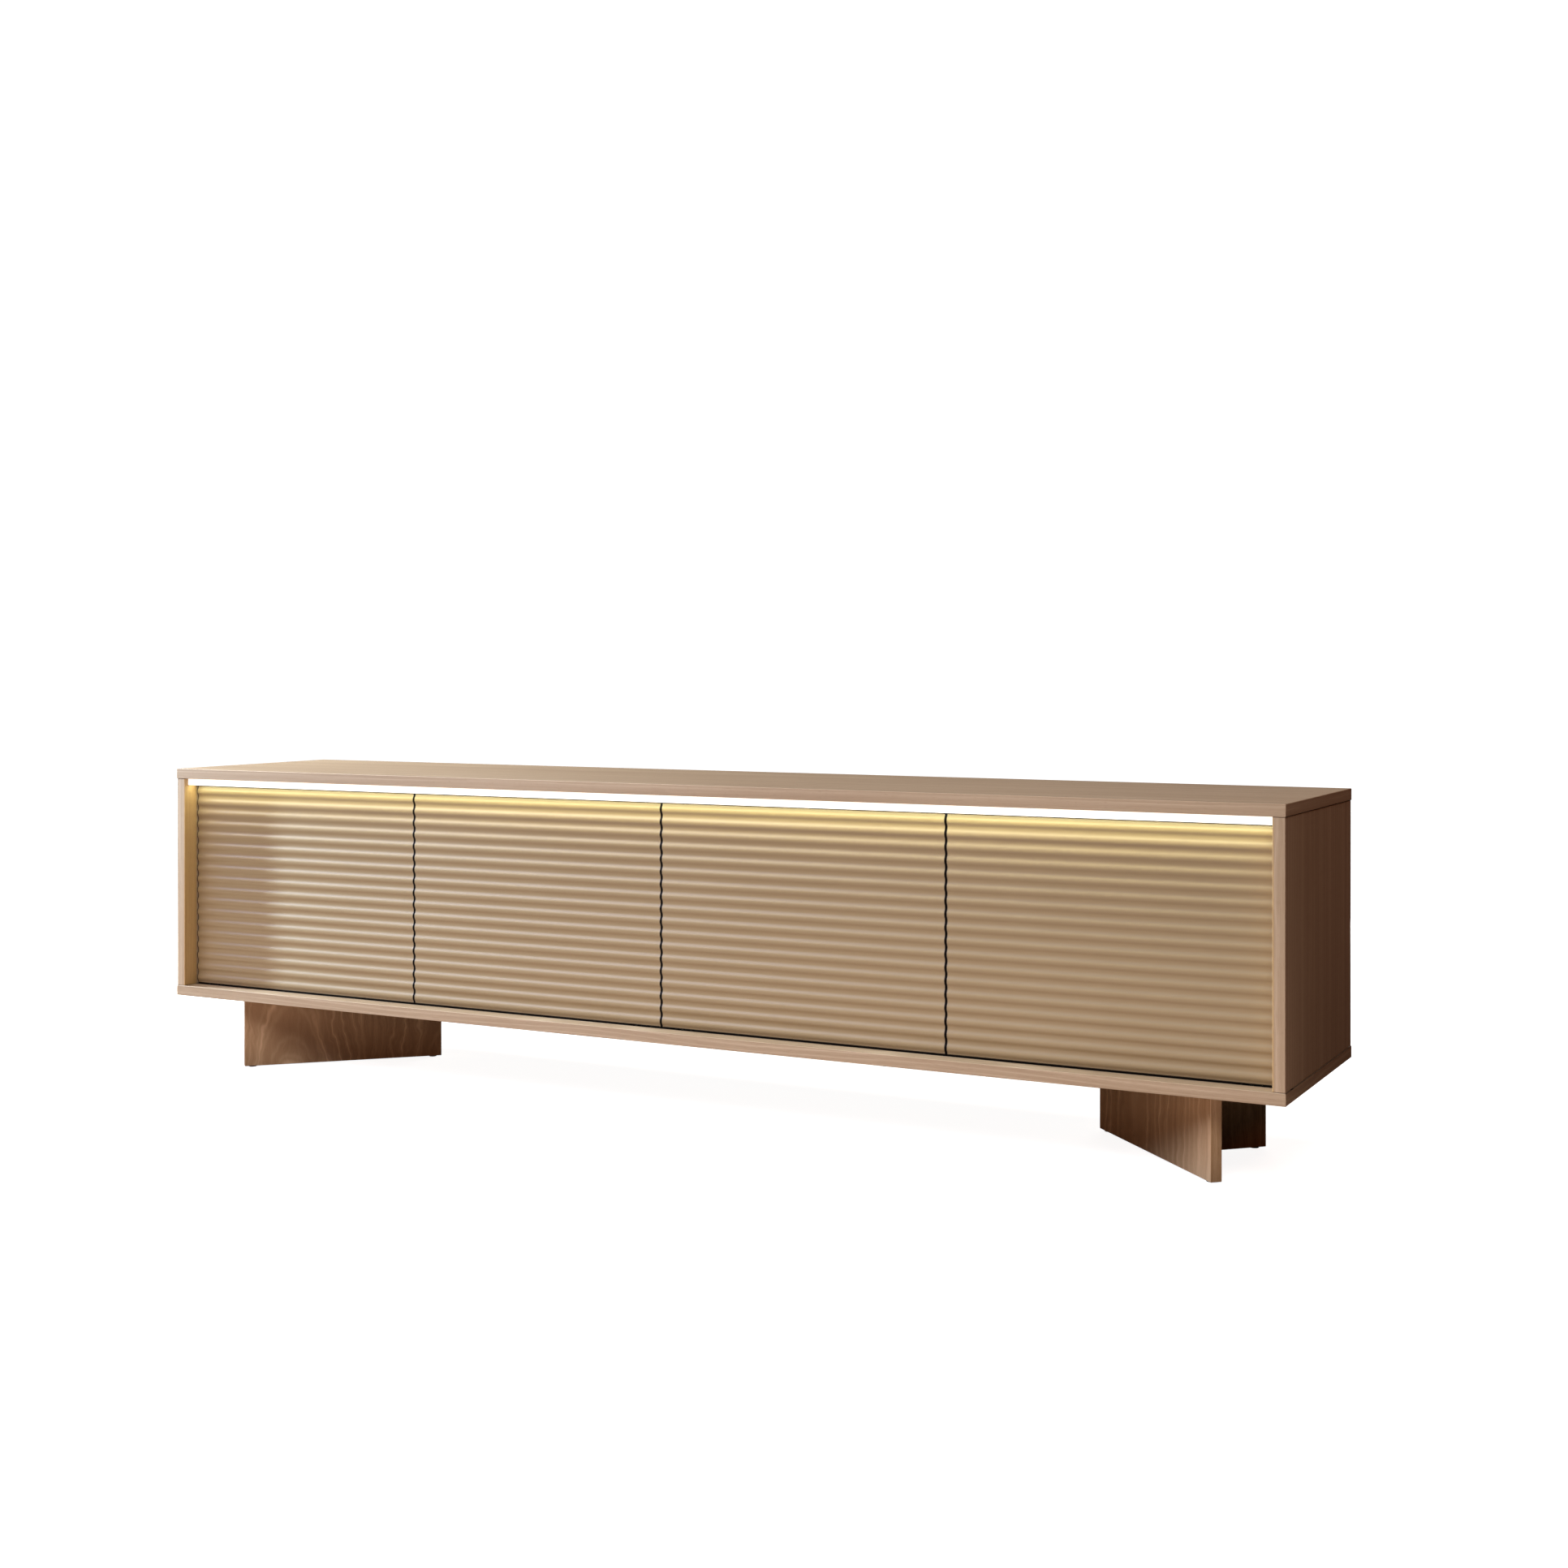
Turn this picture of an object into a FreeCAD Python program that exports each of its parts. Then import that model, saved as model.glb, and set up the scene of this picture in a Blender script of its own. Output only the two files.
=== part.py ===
import FreeCAD, Part

import math
import os
import re

import Sketcher
from FreeCAD import Placement, Rotation, Vector

# Media cabinet: a low carcass on two three-armed legs, four rippled pivot doors and a light bar.
# Row frame in millimetres: X to the right seen from the front, Y to the back, Z up, with the
# origin on the floor under the middle of the cabinet.

doc = FreeCAD.newDocument("MediaCabinet")

# ---------------------------------------------------------------- driving dimensions

SIZES = {
    # carcass
    "cabinet_width": 2030,
    "cabinet_depth": 400,
    "cabinet_height": 543,
    "board": 18,  # thickness of every carcass board and of the legs
    "side_inset": 1,  # sides stand back from the ends of the top and bottom boards
    "edge_round": 1,
    "partition_front": 68,  # from the front edge back to the partitions
    "back_sheet": 3,
    "back_recess": 3,
    "rebate": 8,
    "bore_play": 0.1,  # how much wider a bore is than what stands in it
    "pilot_hole": 3,
    "screw_hole": 3.2,
    # doors
    "door_gap": 2.5,
    "door_recess": 30,
    "door_thickness": 22,
    "door_floor_gap": 2,
    "ripple_pitch": 20,
    "ripple_depth": 3,
    "ripple_foot": 1,
    "ripple_count": 18,
    # door pivots
    "pivot_inset": 36,
    "pivot_setback": 8.5,
    "pivot_pin": 4,
    "pin_play": 0.05,
    "pin_reach": 10,  # how far the pin stands in the bush, before its taper
    "pin_taper": 1,
    "pin_body": 6,  # the upper pin's thick part
    "collar_diameter": 7,
    "collar_play": 0.5,
    "boss_diameter": 12,
    "boss_height": 10,
    "bush_diameter": 7,
    "bush_length": 12,
    "plate_length": 40,
    "plate_width": 16,
    "plate_thickness": 2,
    "plate_screw_offset": 14,
    "plate_screw_bore": 13,
    "plate_corner": 3,
    "plate_head_diameter": 5.4,
    "plate_head_depth": 1,
    # push latches
    "latch_height": 430,
    "latch_reach": 62,  # front of the housing, from the front edge
    "latch_length": 58,
    "latch_axis": 9,  # plunger axis from the partition face
    "latch_screw_rise": 12,
    "latch_screw_front": 14,
    "latch_screw_rear": 44,
    "latch_screw_head": 1.6,
    "latch_screw_bore": 8.5,
    "latch_plate": 2,
    "latch_plate_margin": 5,
    "latch_barrel_width": 14,
    "latch_barrel_height": 15,
    "latch_bore_depth": 46,
    "latch_bore_play": 0.16,
    "plunger_diameter": 8,
    "plunger_length": 37.5,
    "plunger_rest_gap": 0.5,
    "plunger_taper": 1,
    "spring_wire": 0.8,
    "spring_radius": 2.9,
    "spring_pitch": 2.2,
    "spring_length": 13.2,
    "spring_room": 3,
    "strike_diameter": 14,
    "strike_thickness": 1.2,
    # shelves
    "shelf_underside": 328,
    "shelf_front": 82,
    "shelf_play": 0.5,
    "shelf_rear_gap": 4,
    "shelf_pin": 5,
    "shelf_pin_bore": 8.5,
    "pin_pitch": 32,
    "pin_row_front": 105,
    "pin_row_rear": 350,
    # carcass fittings
    "cam_diameter": 15,
    "cam_depth": 12.5,
    "cam_distance": 34,
    "cam_front": 100,
    "cam_rear": 360,
    "cam_slot": 7.4,
    "bolt_bore": 5.1,
    "bolt_bore_depth": 11.5,
    "bolt_tunnel": 7.2,
    "bolt_tunnel_stop": 4,
    "dowel": 8,
    "dowel_front": 140,
    "dowel_rear": 320,
    "nose_dowel": 25,
    "dowel_panel_bore": 11,
    "dowel_end_bore": 21,
    "back_play": 0.5,
    "back_screw_pilot": 2.4,
    "back_screw_bore": 13,
    "back_screw_head": 1.4,
    # legs
    "leg_height": 130,
    "leg_board_length": 356,
    "leg_arm_length": 169,
    "leg_side_inset": 118.7,
    "leg_front_inset": 48,
    "leg_end_screw": 60,
    "leg_arm_screw_inner": 45,
    "leg_arm_screw_outer": 125,
    "leg_screw_bore": 33,
    "leg_screw_hole": 7.1,
    "leg_screw_head": 10.2,
    "leg_screw_sink": 3.2,
    "leg_dowel_low": 38,
    "leg_dowel_high": 93,
    "glide_inset": 15,
    "glide_diameter": 14,
    "glide_thickness": 2,
    # light bar
    "bar_inset": 9,
    "bar_depth": 14,
    "bar_height": 12,
    "bar_end_play": 0.5,
    "bar_wall": 1,
    "cover_wall": 1.5,
    "led_pitch": 33,
    "led_count": 60,
    "led_chip": 3,
    "led_chip_height": 1.2,
    "led_first": 15,
    "tape_width": 8,
    "tape_rise": 2,
    "tape_margin": 5,
    "bar_screw_bore": 12,
    "bar_screw_head": 1.2,
    # lead and power inlet
    "lead_diameter": 3,
    "lead_wall_gap": 12,
    "lead_drop": 5.5,
    "lead_bend": 20,
    "lead_turn_y": 150,
    "inlet_height": 470,
    "inlet_diameter": 11,
    "inlet_length": 15,
    "inlet_flange": 8,
    "inlet_flange_height": 1.5,
    "inlet_socket": 2.8,
    "inlet_socket_depth": 8,
    "inlet_pin": 0.9,
    "inlet_nut": 3,
    "clip_size": 8,
    "clip_length": 6,
    "clip_front": 90,
    "clip_pitch": 90,
    # cable outlets
    "outlet_diameter": 60,
    "outlet_height": 220,
    "grommet_wall": 3,
    "grommet_flange": 5,
    "grommet_flange_height": 1.5,
    "grommet_length": 8,
}

sheet = doc.addObject("Spreadsheet::Sheet", "Sizes")
for row, (alias, size) in enumerate(SIZES.items(), 1):
    sheet.set(f"A{row}", alias)
    sheet.set(f"B{row}", str(size))
    sheet.setAlias(f"B{row}", alias)
doc.recompute()

# Places worked out from the sheet, as expressions.
FRONT = "(-cabinet_depth / 2)"
REAR = "(cabinet_depth / 2)"
FLOOR = "(leg_height + board)"
CEILING = "(cabinet_height - board)"
INNER = "(cabinet_width / 2 - side_inset - board)"
INNER_HEIGHT = f"({CEILING} - {FLOOR})"
BACK_FACE = f"({REAR} - back_recess - back_sheet)"
DOWEL_BORE = "dowel + bore_play"
DOOR_WIDTH = f"((2 * {INNER} - 5 * door_gap) / 4)"
DOOR_HEIGHT = "(ripple_pitch * ripple_count)"
DOOR_FACE = f"({FRONT} + door_recess)"
DOOR_BACK = f"({DOOR_FACE} + door_thickness)"
DOOR_BOTTOM = f"({FLOOR} + door_floor_gap)"
PIVOT_Y = f"({DOOR_FACE} + pivot_setback)"

ALIAS = re.compile(r"(?<![\w.])(" + "|".join(SIZES) + r")(?!\w)")
UP = Rotation()
DOWN = Rotation(Vector(1, 0, 0), 180)
BACKWARD = Rotation(Vector(1, 0, 0), -90)
FORWARD = Rotation(Vector(1, 0, 0), 90)
RIGHTWARD = Rotation(Vector(0, 1, 0), 90)
LEFTWARD = Rotation(Vector(0, 1, 0), -90)
nodes = []


# ---------------------------------------------------------------- helpers


def in_sheet(expression):
    """An expression with every size read from the sheet."""
    return ALIAS.sub(r"Sizes.\1", str(expression))


def number(expression):
    """The present value of an expression."""
    return float(sheet.evalExpression(in_sheet(expression)))


def bind(item, **expressions):
    """Binds properties of an object to the sheet; x, y and z bind its place."""
    for name, expression in expressions.items():
        target = f"Placement.Base.{name}" if name in ("x", "y", "z") else name
        item.setExpression(target, in_sheet(expression))
    return item


def new_body(label, x="0", y="0", z="0", rotation=UP, is_node=True):
    """An empty body at a place in the row frame."""
    body = doc.addObject("PartDesign::Body", label)
    body.Placement = Placement(Vector(), rotation)
    if is_node:
        nodes.append(body)
    return bind(body, x=x, y=y, z=z)


def sketch_on(body, name, plane="XY_Plane", offset="0"):
    """A sketch on one of a body's own origin planes, moved along the plane's normal."""
    sketch = body.newObject("Sketcher::SketchObject", name)
    origin_plane = next(f for f in body.Origin.OriginFeatures if f.Role == plane)
    sketch.AttachmentSupport = [(origin_plane, "")]
    sketch.MapMode = "FlatFace"
    sketch.setExpression("AttachmentOffset.Base.z", in_sheet(offset))
    return sketch


def dimension(sketch, expression, *constraint):
    """Adds a dimension to a sketch and binds it to the sheet."""
    index = sketch.addConstraint(Sketcher.Constraint(*constraint, number(expression)))
    sketch.setExpression(f"Constraints[{index}]", in_sheet(expression))


def fix_point(sketch, geometry, end, u, v):
    """Holds one point of a sketch at u, v from the sketch's origin."""
    for expression, axis, kind in ((u, -2, "DistanceX"), (v, -1, "DistanceY")):
        if expression == "0":
            sketch.addConstraint(Sketcher.Constraint("PointOnObject", geometry, end, axis))
        elif number(expression) < 0:
            dimension(sketch, f"-({expression})", kind, geometry, end, -1, 1)
        else:
            dimension(sketch, expression, kind, -1, 1, geometry, end)


def circle(sketch, u, v, diameter):
    """Adds a circle of a diameter, centred at u, v."""
    centre = Vector(number(u), number(v))
    index = sketch.addGeometry(Part.Circle(centre, Vector(0, 0, 1), number(diameter) / 2))
    fix_point(sketch, index, 3, u, v)
    dimension(sketch, diameter, "Diameter", index)


def outline(sketch, points):
    """Adds a closed outline of straight lines, each corner held at its u, v."""
    corners = [Vector(number(u), number(v)) for u, v in points]
    first = sketch.GeometryCount
    for start, end in zip(corners, corners[1:] + corners[:1]):
        sketch.addGeometry(Part.LineSegment(start, end))
    for side in range(len(points)):
        following = first + (side + 1) % len(points)
        sketch.addConstraint(Sketcher.Constraint("Coincident", first + side, 2, following, 1))
    for side, (u, v) in enumerate(points):
        fix_point(sketch, first + side, 1, u, v)


def rectangle(sketch, u, v, width, height):
    """Adds a rectangle with its lower left corner at u, v."""
    right = width if u == "0" else f"{u} + {width}"
    top = height if v == "0" else f"{v} + {height}"
    outline(sketch, [(u, v), (right, v), (right, top), (u, top)])


def pad(body, sketch, length, backwards=False):
    """Pads a sketch along its plane's normal, or against it."""
    feature = body.newObject("PartDesign::Pad", sketch.Name + "_pad")
    feature.Profile = sketch
    feature.Reversed = backwards
    bind(feature, Length=length)
    doc.recompute()
    return feature


def pocket(body, sketch, depth, along_normal=False):
    """Cuts a sketch into the body, and stops if that takes nothing away."""
    before = body.Shape.Volume
    feature = body.newObject("PartDesign::Pocket", sketch.Name + "_pocket")
    feature.Profile = sketch
    feature.Reversed = along_normal
    bind(feature, Length=depth)
    doc.recompute()
    if not body.Shape.Volume < before:
        raise ValueError(f"{feature.Label} cuts nothing")
    return feature


def drill(body, name, plane, offset, centres, diameter, depth, along_normal=False):
    """Drills a pattern of equal round holes from a plane into the body."""
    sketch = sketch_on(body, f"{body.Name}_{name}", plane, offset)
    for u, v in centres:
        circle(sketch, u, v, diameter)
    return pocket(body, sketch, depth, along_normal)


def ease_edges(body, feature, radius="edge_round", chosen=lambda edge: True):
    """Rounds the chosen edges of a body's last feature."""
    edges = [f"Edge{n}" for n, edge in enumerate(feature.Shape.Edges, 1) if chosen(edge)]
    fillet = body.newObject("PartDesign::Fillet", body.Name + "_eased")
    fillet.Base = (feature, edges)
    bind(fillet, Radius=radius)
    doc.recompute()
    return fillet


def board(label, x, y, z, length, width, height, eased=True, rotation=UP):
    """A plain board with eased edges, its lowest corner at x, y, z."""
    body = new_body(label, x, y, z, rotation)
    sketch = sketch_on(body, label + "_outline")
    rectangle(sketch, "0", "0", length, width)
    blank = pad(body, sketch, height)
    if eased:
        ease_edges(body, blank)
    return body


def turned(label, points):
    """A master turned about its own Z axis from an outline of radius and height."""
    body = new_body(label, is_node=False)
    sketch = sketch_on(body, label + "_profile", "XZ_Plane")
    outline(sketch, points)
    feature = body.newObject("PartDesign::Revolution", label + "_turned")
    feature.Profile = sketch
    feature.ReferenceAxis = (sketch, ["V_Axis"])
    feature.Angle = 360
    doc.recompute()
    return body


def cross_recess(body, span, width, depth):
    """Cuts a cross for a driver into the top of a turned master, at height 0."""
    for name, across, along in (("a", span, width), ("b", width, span)):
        sketch = sketch_on(body, f"{body.Name}_recess_{name}")
        rectangle(sketch, f"-{across} / 2", f"-{along} / 2", across, along)
        pocket(body, sketch, depth)


def group(label, master, places):
    """One node of identical separate pieces: a link to the master at each place."""
    copies = []
    for count, (x, y, z, rotation) in enumerate(places, 1):
        copy = doc.addObject("App::Link", f"{label}_{count}")
        copy.LinkedObject = master
        copy.Placement = Placement(Vector(), rotation)
        copies.append(bind(copy, x=x, y=y, z=z))
    compound = doc.addObject("Part::Compound", label)
    compound.Links = copies
    nodes.append(compound)
    return compound


# ---------------------------------------------------------------- where the repeated pieces go


def seam(number_from_left):
    """X of the middle of a door gap, counted from the left side panel."""
    return f"(-{INNER} + door_gap / 2 + {number_from_left} * ({DOOR_WIDTH} + door_gap))"


# Each door: its name, its place from the left, and whether it is hung on its left edge.
DOORS = [
    ("door_outer_left", 0, True),
    ("door_inner_left", 1, False),
    ("door_inner_right", 2, True),
    ("door_outer_right", 3, False),
]

# Each upright: its name, X of its left face, its front, and the faces that look into a compartment.
PARTITION_Y = f"({FRONT} + partition_front)"
SIDE_Y = f"({FRONT} + side_inset)"
UPRIGHTS = [
    ("side_panel_left", f"(-{INNER} - board)", SIDE_Y, ["right"]),
    ("partition_left", f"({seam(1)} - board / 2)", PARTITION_Y, ["left", "right"]),
    ("partition_centre", f"({seam(2)} - board / 2)", PARTITION_Y, ["left", "right"]),
    ("partition_right", f"({seam(3)} - board / 2)", PARTITION_Y, ["left", "right"]),
    ("side_panel_right", INNER, SIDE_Y, ["left"]),
]


def is_side(label):
    """Whether an upright is one of the two outer sides."""
    return label.startswith("side_panel")


def dowel_rows(label):
    """Distances from the cabinet's front edge to an upright's dowels."""
    rows = ["dowel_front", "dowel_rear"]
    return ["nose_dowel", *rows] if is_side(label) else rows


def pivot_x(place, hung_left):
    """X of a door's pivot axis."""
    if hung_left:
        return f"({seam(place)} + door_gap / 2 + pivot_inset)"
    return f"({seam(place + 1)} - door_gap / 2 - pivot_inset)"


def latch_x(place, hung_left):
    """X of the latch that holds a door's free edge."""
    if hung_left:
        return f"({seam(place + 1)} - board / 2 - latch_axis)"
    return f"({seam(place)} + board / 2 + latch_axis)"


PIVOTS = [pivot_x(place, hung_left) for _, place, hung_left in DOORS]
PLATE_SCREWS = [(x, side) for x in PIVOTS for side in ("-", "+")]
JOINTS = [
    (f"({x} + board / 2)", row)
    for label, x, _, _ in UPRIGHTS
    for row in ("cam_front", "cam_rear")
]
DOWEL_JOINTS = [
    (f"({x} + board / 2)", row) for label, x, _, _ in UPRIGHTS for row in dowel_rows(label)
]
BAR_SCREWS = [f"({step} * cabinet_width / 6 - cabinet_width / 12)" for step in range(-2, 4)]

# Each leg: its name, X and Y of the end of its long board that its local X starts from, and its turn.
DIAGONAL = "sqrt(0.5)"
LEG_FRONT = f"({FRONT} + leg_front_inset)"
LEG_OUTER = "(cabinet_width / 2 - leg_side_inset)"
LEGS = [
    ("leg_left", f"(-{LEG_OUTER})", LEG_FRONT, 45),
    (
        "leg_right",
        f"({LEG_OUTER} - leg_board_length * {DIAGONAL})",
        f"({LEG_FRONT} + leg_board_length * {DIAGONAL})",
        -45,
    ),
]


def leg_point(leg, u, v):
    """X and Y of a point on a leg, u along its long board and v across it."""
    _, x, y, turn = leg
    rise = "" if turn > 0 else "-"
    return (
        f"({x} + ({u}) * {DIAGONAL} - {rise}({v}) * {DIAGONAL})",
        f"({y} + {rise}({u}) * {DIAGONAL} + ({v}) * {DIAGONAL})",
    )


LEG_SCREWS = [
    ("leg_end_screw", "board / 2"),
    ("leg_board_length - leg_end_screw", "board / 2"),
    ("leg_board_length / 2", "board + leg_arm_screw_inner"),
    ("leg_board_length / 2", "board + leg_arm_screw_outer"),
]


# ---------------------------------------------------------------- top and bottom panels


def flat_panel(label, z):
    """A full width board, the top or the bottom of the carcass."""
    return board(label, "-cabinet_width / 2", FRONT, z, "cabinet_width", "cabinet_depth", "board")


def on_panel(x, y):
    """A row place measured from the front left corner of the top or bottom panel."""
    return f"{x} + cabinet_width / 2", f"{y} + cabinet_depth / 2"


def rebate_panel(panel, offset, along_normal):
    """Cuts the stopped rebate that takes the back sheets."""
    sketch = sketch_on(panel, panel.Name + "_rebate", offset=offset)
    u, v = on_panel(f"(-{INNER} - rebate)", BACK_FACE)
    rectangle(sketch, u, v, f"2 * ({INNER} + rebate)", "(back_recess + back_sheet)")
    pocket(panel, sketch, "rebate", along_normal)


def drill_joints(panel, offset, along_normal):
    """Bores for the carcass dowels and the cam bolts."""
    dowels = [on_panel(x, f"{FRONT} + {row}") for x, row in DOWEL_JOINTS]
    drill(panel, "dowels", "XY_Plane", offset, dowels, DOWEL_BORE, "dowel_panel_bore", along_normal)
    bolts = [on_panel(x, f"{FRONT} + {row}") for x, row in JOINTS]
    drill(panel, "bolts", "XY_Plane", offset, bolts, "bolt_bore", "bolt_bore_depth", along_normal)


def drill_plate_screws(panel, offset, along_normal):
    """Pilot holes for the pivot plates' screws."""
    centres = [on_panel(f"{x} {side} plate_screw_offset", PIVOT_Y) for x, side in PLATE_SCREWS]
    plane = "XY_Plane"
    drill(panel, "plate_screws", plane, offset, centres, "pilot_hole", "plate_screw_bore", along_normal)


top = flat_panel("top_panel", CEILING)
rebate_panel(top, "0", True)
drill_joints(top, "0", True)
drill_plate_screws(top, "0", True)
BAR_Y = f"({FRONT} + bar_inset)"
bar_screw_centres = [on_panel(x, f"{BAR_Y} + bar_depth / 2") for x in BAR_SCREWS]
drill(top, "bar_screws", "XY_Plane", "0", bar_screw_centres, "pilot_hole", "bar_screw_bore", True)

bottom = flat_panel("bottom_panel", "leg_height")
rebate_panel(bottom, "board", False)
drill_joints(bottom, "board", False)
mortises = sketch_on(bottom, "plate_mortises", offset="board")
for pivot in PIVOTS:
    corner = on_panel(
        f"{pivot} - plate_length / 2 - bore_play", f"{PIVOT_Y} - plate_width / 2 - bore_play"
    )
    rectangle(mortises, *corner, "(plate_length + 2 * bore_play)", "(plate_width + 2 * bore_play)")
pocket(bottom, mortises, "plate_thickness")
drill_plate_screws(bottom, "board - plate_thickness", False)
leg_screw_places = [leg_point(leg, u, v) for leg in LEGS for u, v in LEG_SCREWS]
leg_screw_centres = [on_panel(x, y) for x, y in leg_screw_places]
drill(bottom, "leg_screws", "XY_Plane", "board", leg_screw_centres, "leg_screw_hole", "board")
drill(
    bottom, "leg_screw_heads", "XY_Plane", "board", leg_screw_centres, "leg_screw_head", "leg_screw_sink"
)


# ---------------------------------------------------------------- side panels and partitions


def upright(label, x, front, faces):
    """A side panel or a partition, with its rebate, bores for fittings and rows of pin holes."""
    rear = f"({REAR} - side_inset)" if is_side(label) else BACK_FACE
    panel = board(label, x, front, FLOOR, "board", f"({rear} - {front})", INNER_HEIGHT)
    if is_side(label):
        inner = "board - rebate" if faces == ["right"] else "0"
        sketch = sketch_on(panel, label + "_rebate")
        rectangle(sketch, inner, f"{BACK_FACE} - {front}", "rebate", f"({rear} - {BACK_FACE})")
        pocket(panel, sketch, INNER_HEIGHT, True)

    def depth_of(row):
        """How far a row of fittings is from the upright's own front edge."""
        return f"{FRONT} + {row} - {front}"

    for face in faces:
        offset = "board" if face == "right" else "0"
        holes = [
            (depth_of(row), f"shelf_underside - shelf_pin / 2 - {FLOOR} + {step} * pin_pitch")
            for row in ("pin_row_front", "pin_row_rear")
            for step in (-2, -1, 0, 1, 2)
        ]
        into = face == "left"
        bore = ("shelf_pin + bore_play", "shelf_pin_bore")
        drill(panel, "pins_" + face, "YZ_Plane", offset, holes, *bore, into)
    cam_offset = "board" if faces[-1] == "right" else "0"
    cams = [
        (depth_of(row), height)
        for row in ("cam_front", "cam_rear")
        for height in ("cam_distance", f"{INNER_HEIGHT} - cam_distance")
    ]
    into = faces[-1] == "left"
    drill(panel, "cams", "YZ_Plane", cam_offset, cams, "cam_diameter", "cam_depth", into)
    tunnel = "cam_distance - bolt_tunnel_stop"
    for end, offset, into in (("foot", "0", True), ("head", INNER_HEIGHT, False)):
        bolts = [("board / 2", depth_of(row)) for row in ("cam_front", "cam_rear")]
        drill(panel, "bolts_" + end, "XY_Plane", offset, bolts, "bolt_tunnel", tunnel, into)
        dowels = [("board / 2", depth_of(row)) for row in dowel_rows(label)]
        drill(panel, "dowels_" + end, "XY_Plane", offset, dowels, DOWEL_BORE, "dowel_end_bore", into)
    return panel


uprights = [upright(*parts) for parts in UPRIGHTS]

# Each latch screw: how far it is behind the housing's front, and which way from the plunger's axis.
LATCH_SCREWS = [("latch_screw_front", 1), ("latch_screw_rear", -1)]


def drill_latch(panel, front, hung_left):
    """Pilot holes for a latch on the face of the upright behind a door's free edge."""
    turned_over = -1 if hung_left else 1
    screws = [
        (
            f"{FRONT} + latch_reach + {along} - {front}",
            f"latch_height + {turned_over * rise} * latch_screw_rise - {FLOOR}",
        )
        for along, rise in LATCH_SCREWS
    ]
    face, offset = ("left", "0") if hung_left else ("right", "board")
    drill(panel, "latch_" + face, "YZ_Plane", offset, screws, "pilot_hole", "latch_screw_bore", hung_left)


for _, place, hung_left in DOORS:
    behind = place + 1 if hung_left else place
    drill_latch(uprights[behind], UPRIGHTS[behind][2], hung_left)


# ---------------------------------------------------------------- back sheets and cable outlets

BACK_WIDTH = f"({INNER} + rebate - back_play)"
BACK_HEIGHT = f"({INNER_HEIGHT} + 2 * rebate - 2 * back_play)"
BACK_BOTTOM = f"({FLOOR} - rebate + back_play)"
OUTLETS = [f"(({seam(place)} + {seam(place + 1)}) / 2)" for place in range(4)]
LEFT_SHEET_X = f"(-{INNER} - rebate + back_play / 2)"
INLET_X = f"(-{INNER} + lead_wall_gap)"
BACK_SCREW_COLUMNS = [f"{step} * {BACK_WIDTH} / 4" for step in range(1, 4)]


def back_sheet(label, x, outlets, has_inlet):
    """A thin back sheet with its cable outlets and screw holes, standing in the rebates."""
    sheet_body = new_body(label, x, f"({BACK_FACE} + back_sheet)", BACK_BOTTOM)
    sketch = sketch_on(sheet_body, label + "_outline", "XZ_Plane")
    rectangle(sketch, "0", "0", BACK_WIDTH, BACK_HEIGHT)
    pad(sheet_body, sketch, "back_sheet")
    centres = [(f"{outlet} - {x}", f"outlet_height - {BACK_BOTTOM}") for outlet in outlets]
    drill(sheet_body, "outlets", "XZ_Plane", "back_sheet", centres, "outlet_diameter", "back_sheet")
    if has_inlet:
        centre = [(f"{INLET_X} - {x}", f"inlet_height - {BACK_BOTTOM}")]
        bore = "inlet_diameter + 2 * bore_play"
        drill(sheet_body, "inlet", "XZ_Plane", "back_sheet", centre, bore, "back_sheet")
    holes = [
        (column, height)
        for column in BACK_SCREW_COLUMNS
        for height in ("rebate / 2", f"{BACK_HEIGHT} - rebate / 2")
    ]
    drill(sheet_body, "screws", "XZ_Plane", "back_sheet", holes, "screw_hole", "back_sheet")
    return [(f"{x} + {column}", f"{BACK_BOTTOM} + {height}") for column, height in holes]


back_screw_places = back_sheet("back_panel_left", LEFT_SHEET_X, OUTLETS[:2], True)
back_screw_places += back_sheet("back_panel_right", "(back_play / 2)", OUTLETS[2:], False)
for panel, height in ((top, CEILING), (bottom, "leg_height")):
    edge = [
        (f"{x} + cabinet_width / 2", f"{z} - {height}")
        for x, z in back_screw_places
        if (number(z) > number(CEILING)) == (panel is top)
    ]
    rebate_floor = f"-({BACK_FACE} + cabinet_depth / 2)"
    drill(panel, "back_screws", "XZ_Plane", rebate_floor, edge, "back_screw_pilot", "back_screw_bore", True)

# ---------------------------------------------------------------- shelves

SHELF_X = [
    (f"({seam(place)} + board / 2 + shelf_play)", f"({seam(place + 1)} - board / 2 - shelf_play)")
    for place in range(4)
]
SHELF_X[0] = (f"(-{INNER} + shelf_play)", SHELF_X[0][1])
SHELF_X[3] = (SHELF_X[3][0], f"({INNER} - shelf_play)")
SHELF_NAMES = ["shelf_outer_left", "shelf_inner_left", "shelf_inner_right", "shelf_outer_right"]
SHELF_Y = f"({FRONT} + shelf_front)"
SHELF_DEPTH = f"({BACK_FACE} - shelf_rear_gap - {SHELF_Y})"
for label, (left, right) in zip(SHELF_NAMES, SHELF_X):
    board(label, left, SHELF_Y, "shelf_underside", f"({right} - {left})", SHELF_DEPTH, "board")

# ---------------------------------------------------------------- carcass fittings

shelf_pin = turned(
    "shelf_pin_master",
    [
        ("0", "-8"),
        ("shelf_pin / 2", "-8"),
        ("shelf_pin / 2", "7"),
        ("shelf_pin / 2 - 0.6", "7.6"),
        ("0", "7.6"),
    ],
)
group(
    "shelf_pins",
    shelf_pin,
    [
        (x, f"{FRONT} + {row}", "shelf_underside - shelf_pin / 2", rotation)
        for left, right in SHELF_X
        for x, rotation in ((f"{left} - shelf_play", RIGHTWARD), (f"{right} + shelf_play", LEFTWARD))
        for row in ("pin_row_front", "pin_row_rear")
    ],
)

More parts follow.
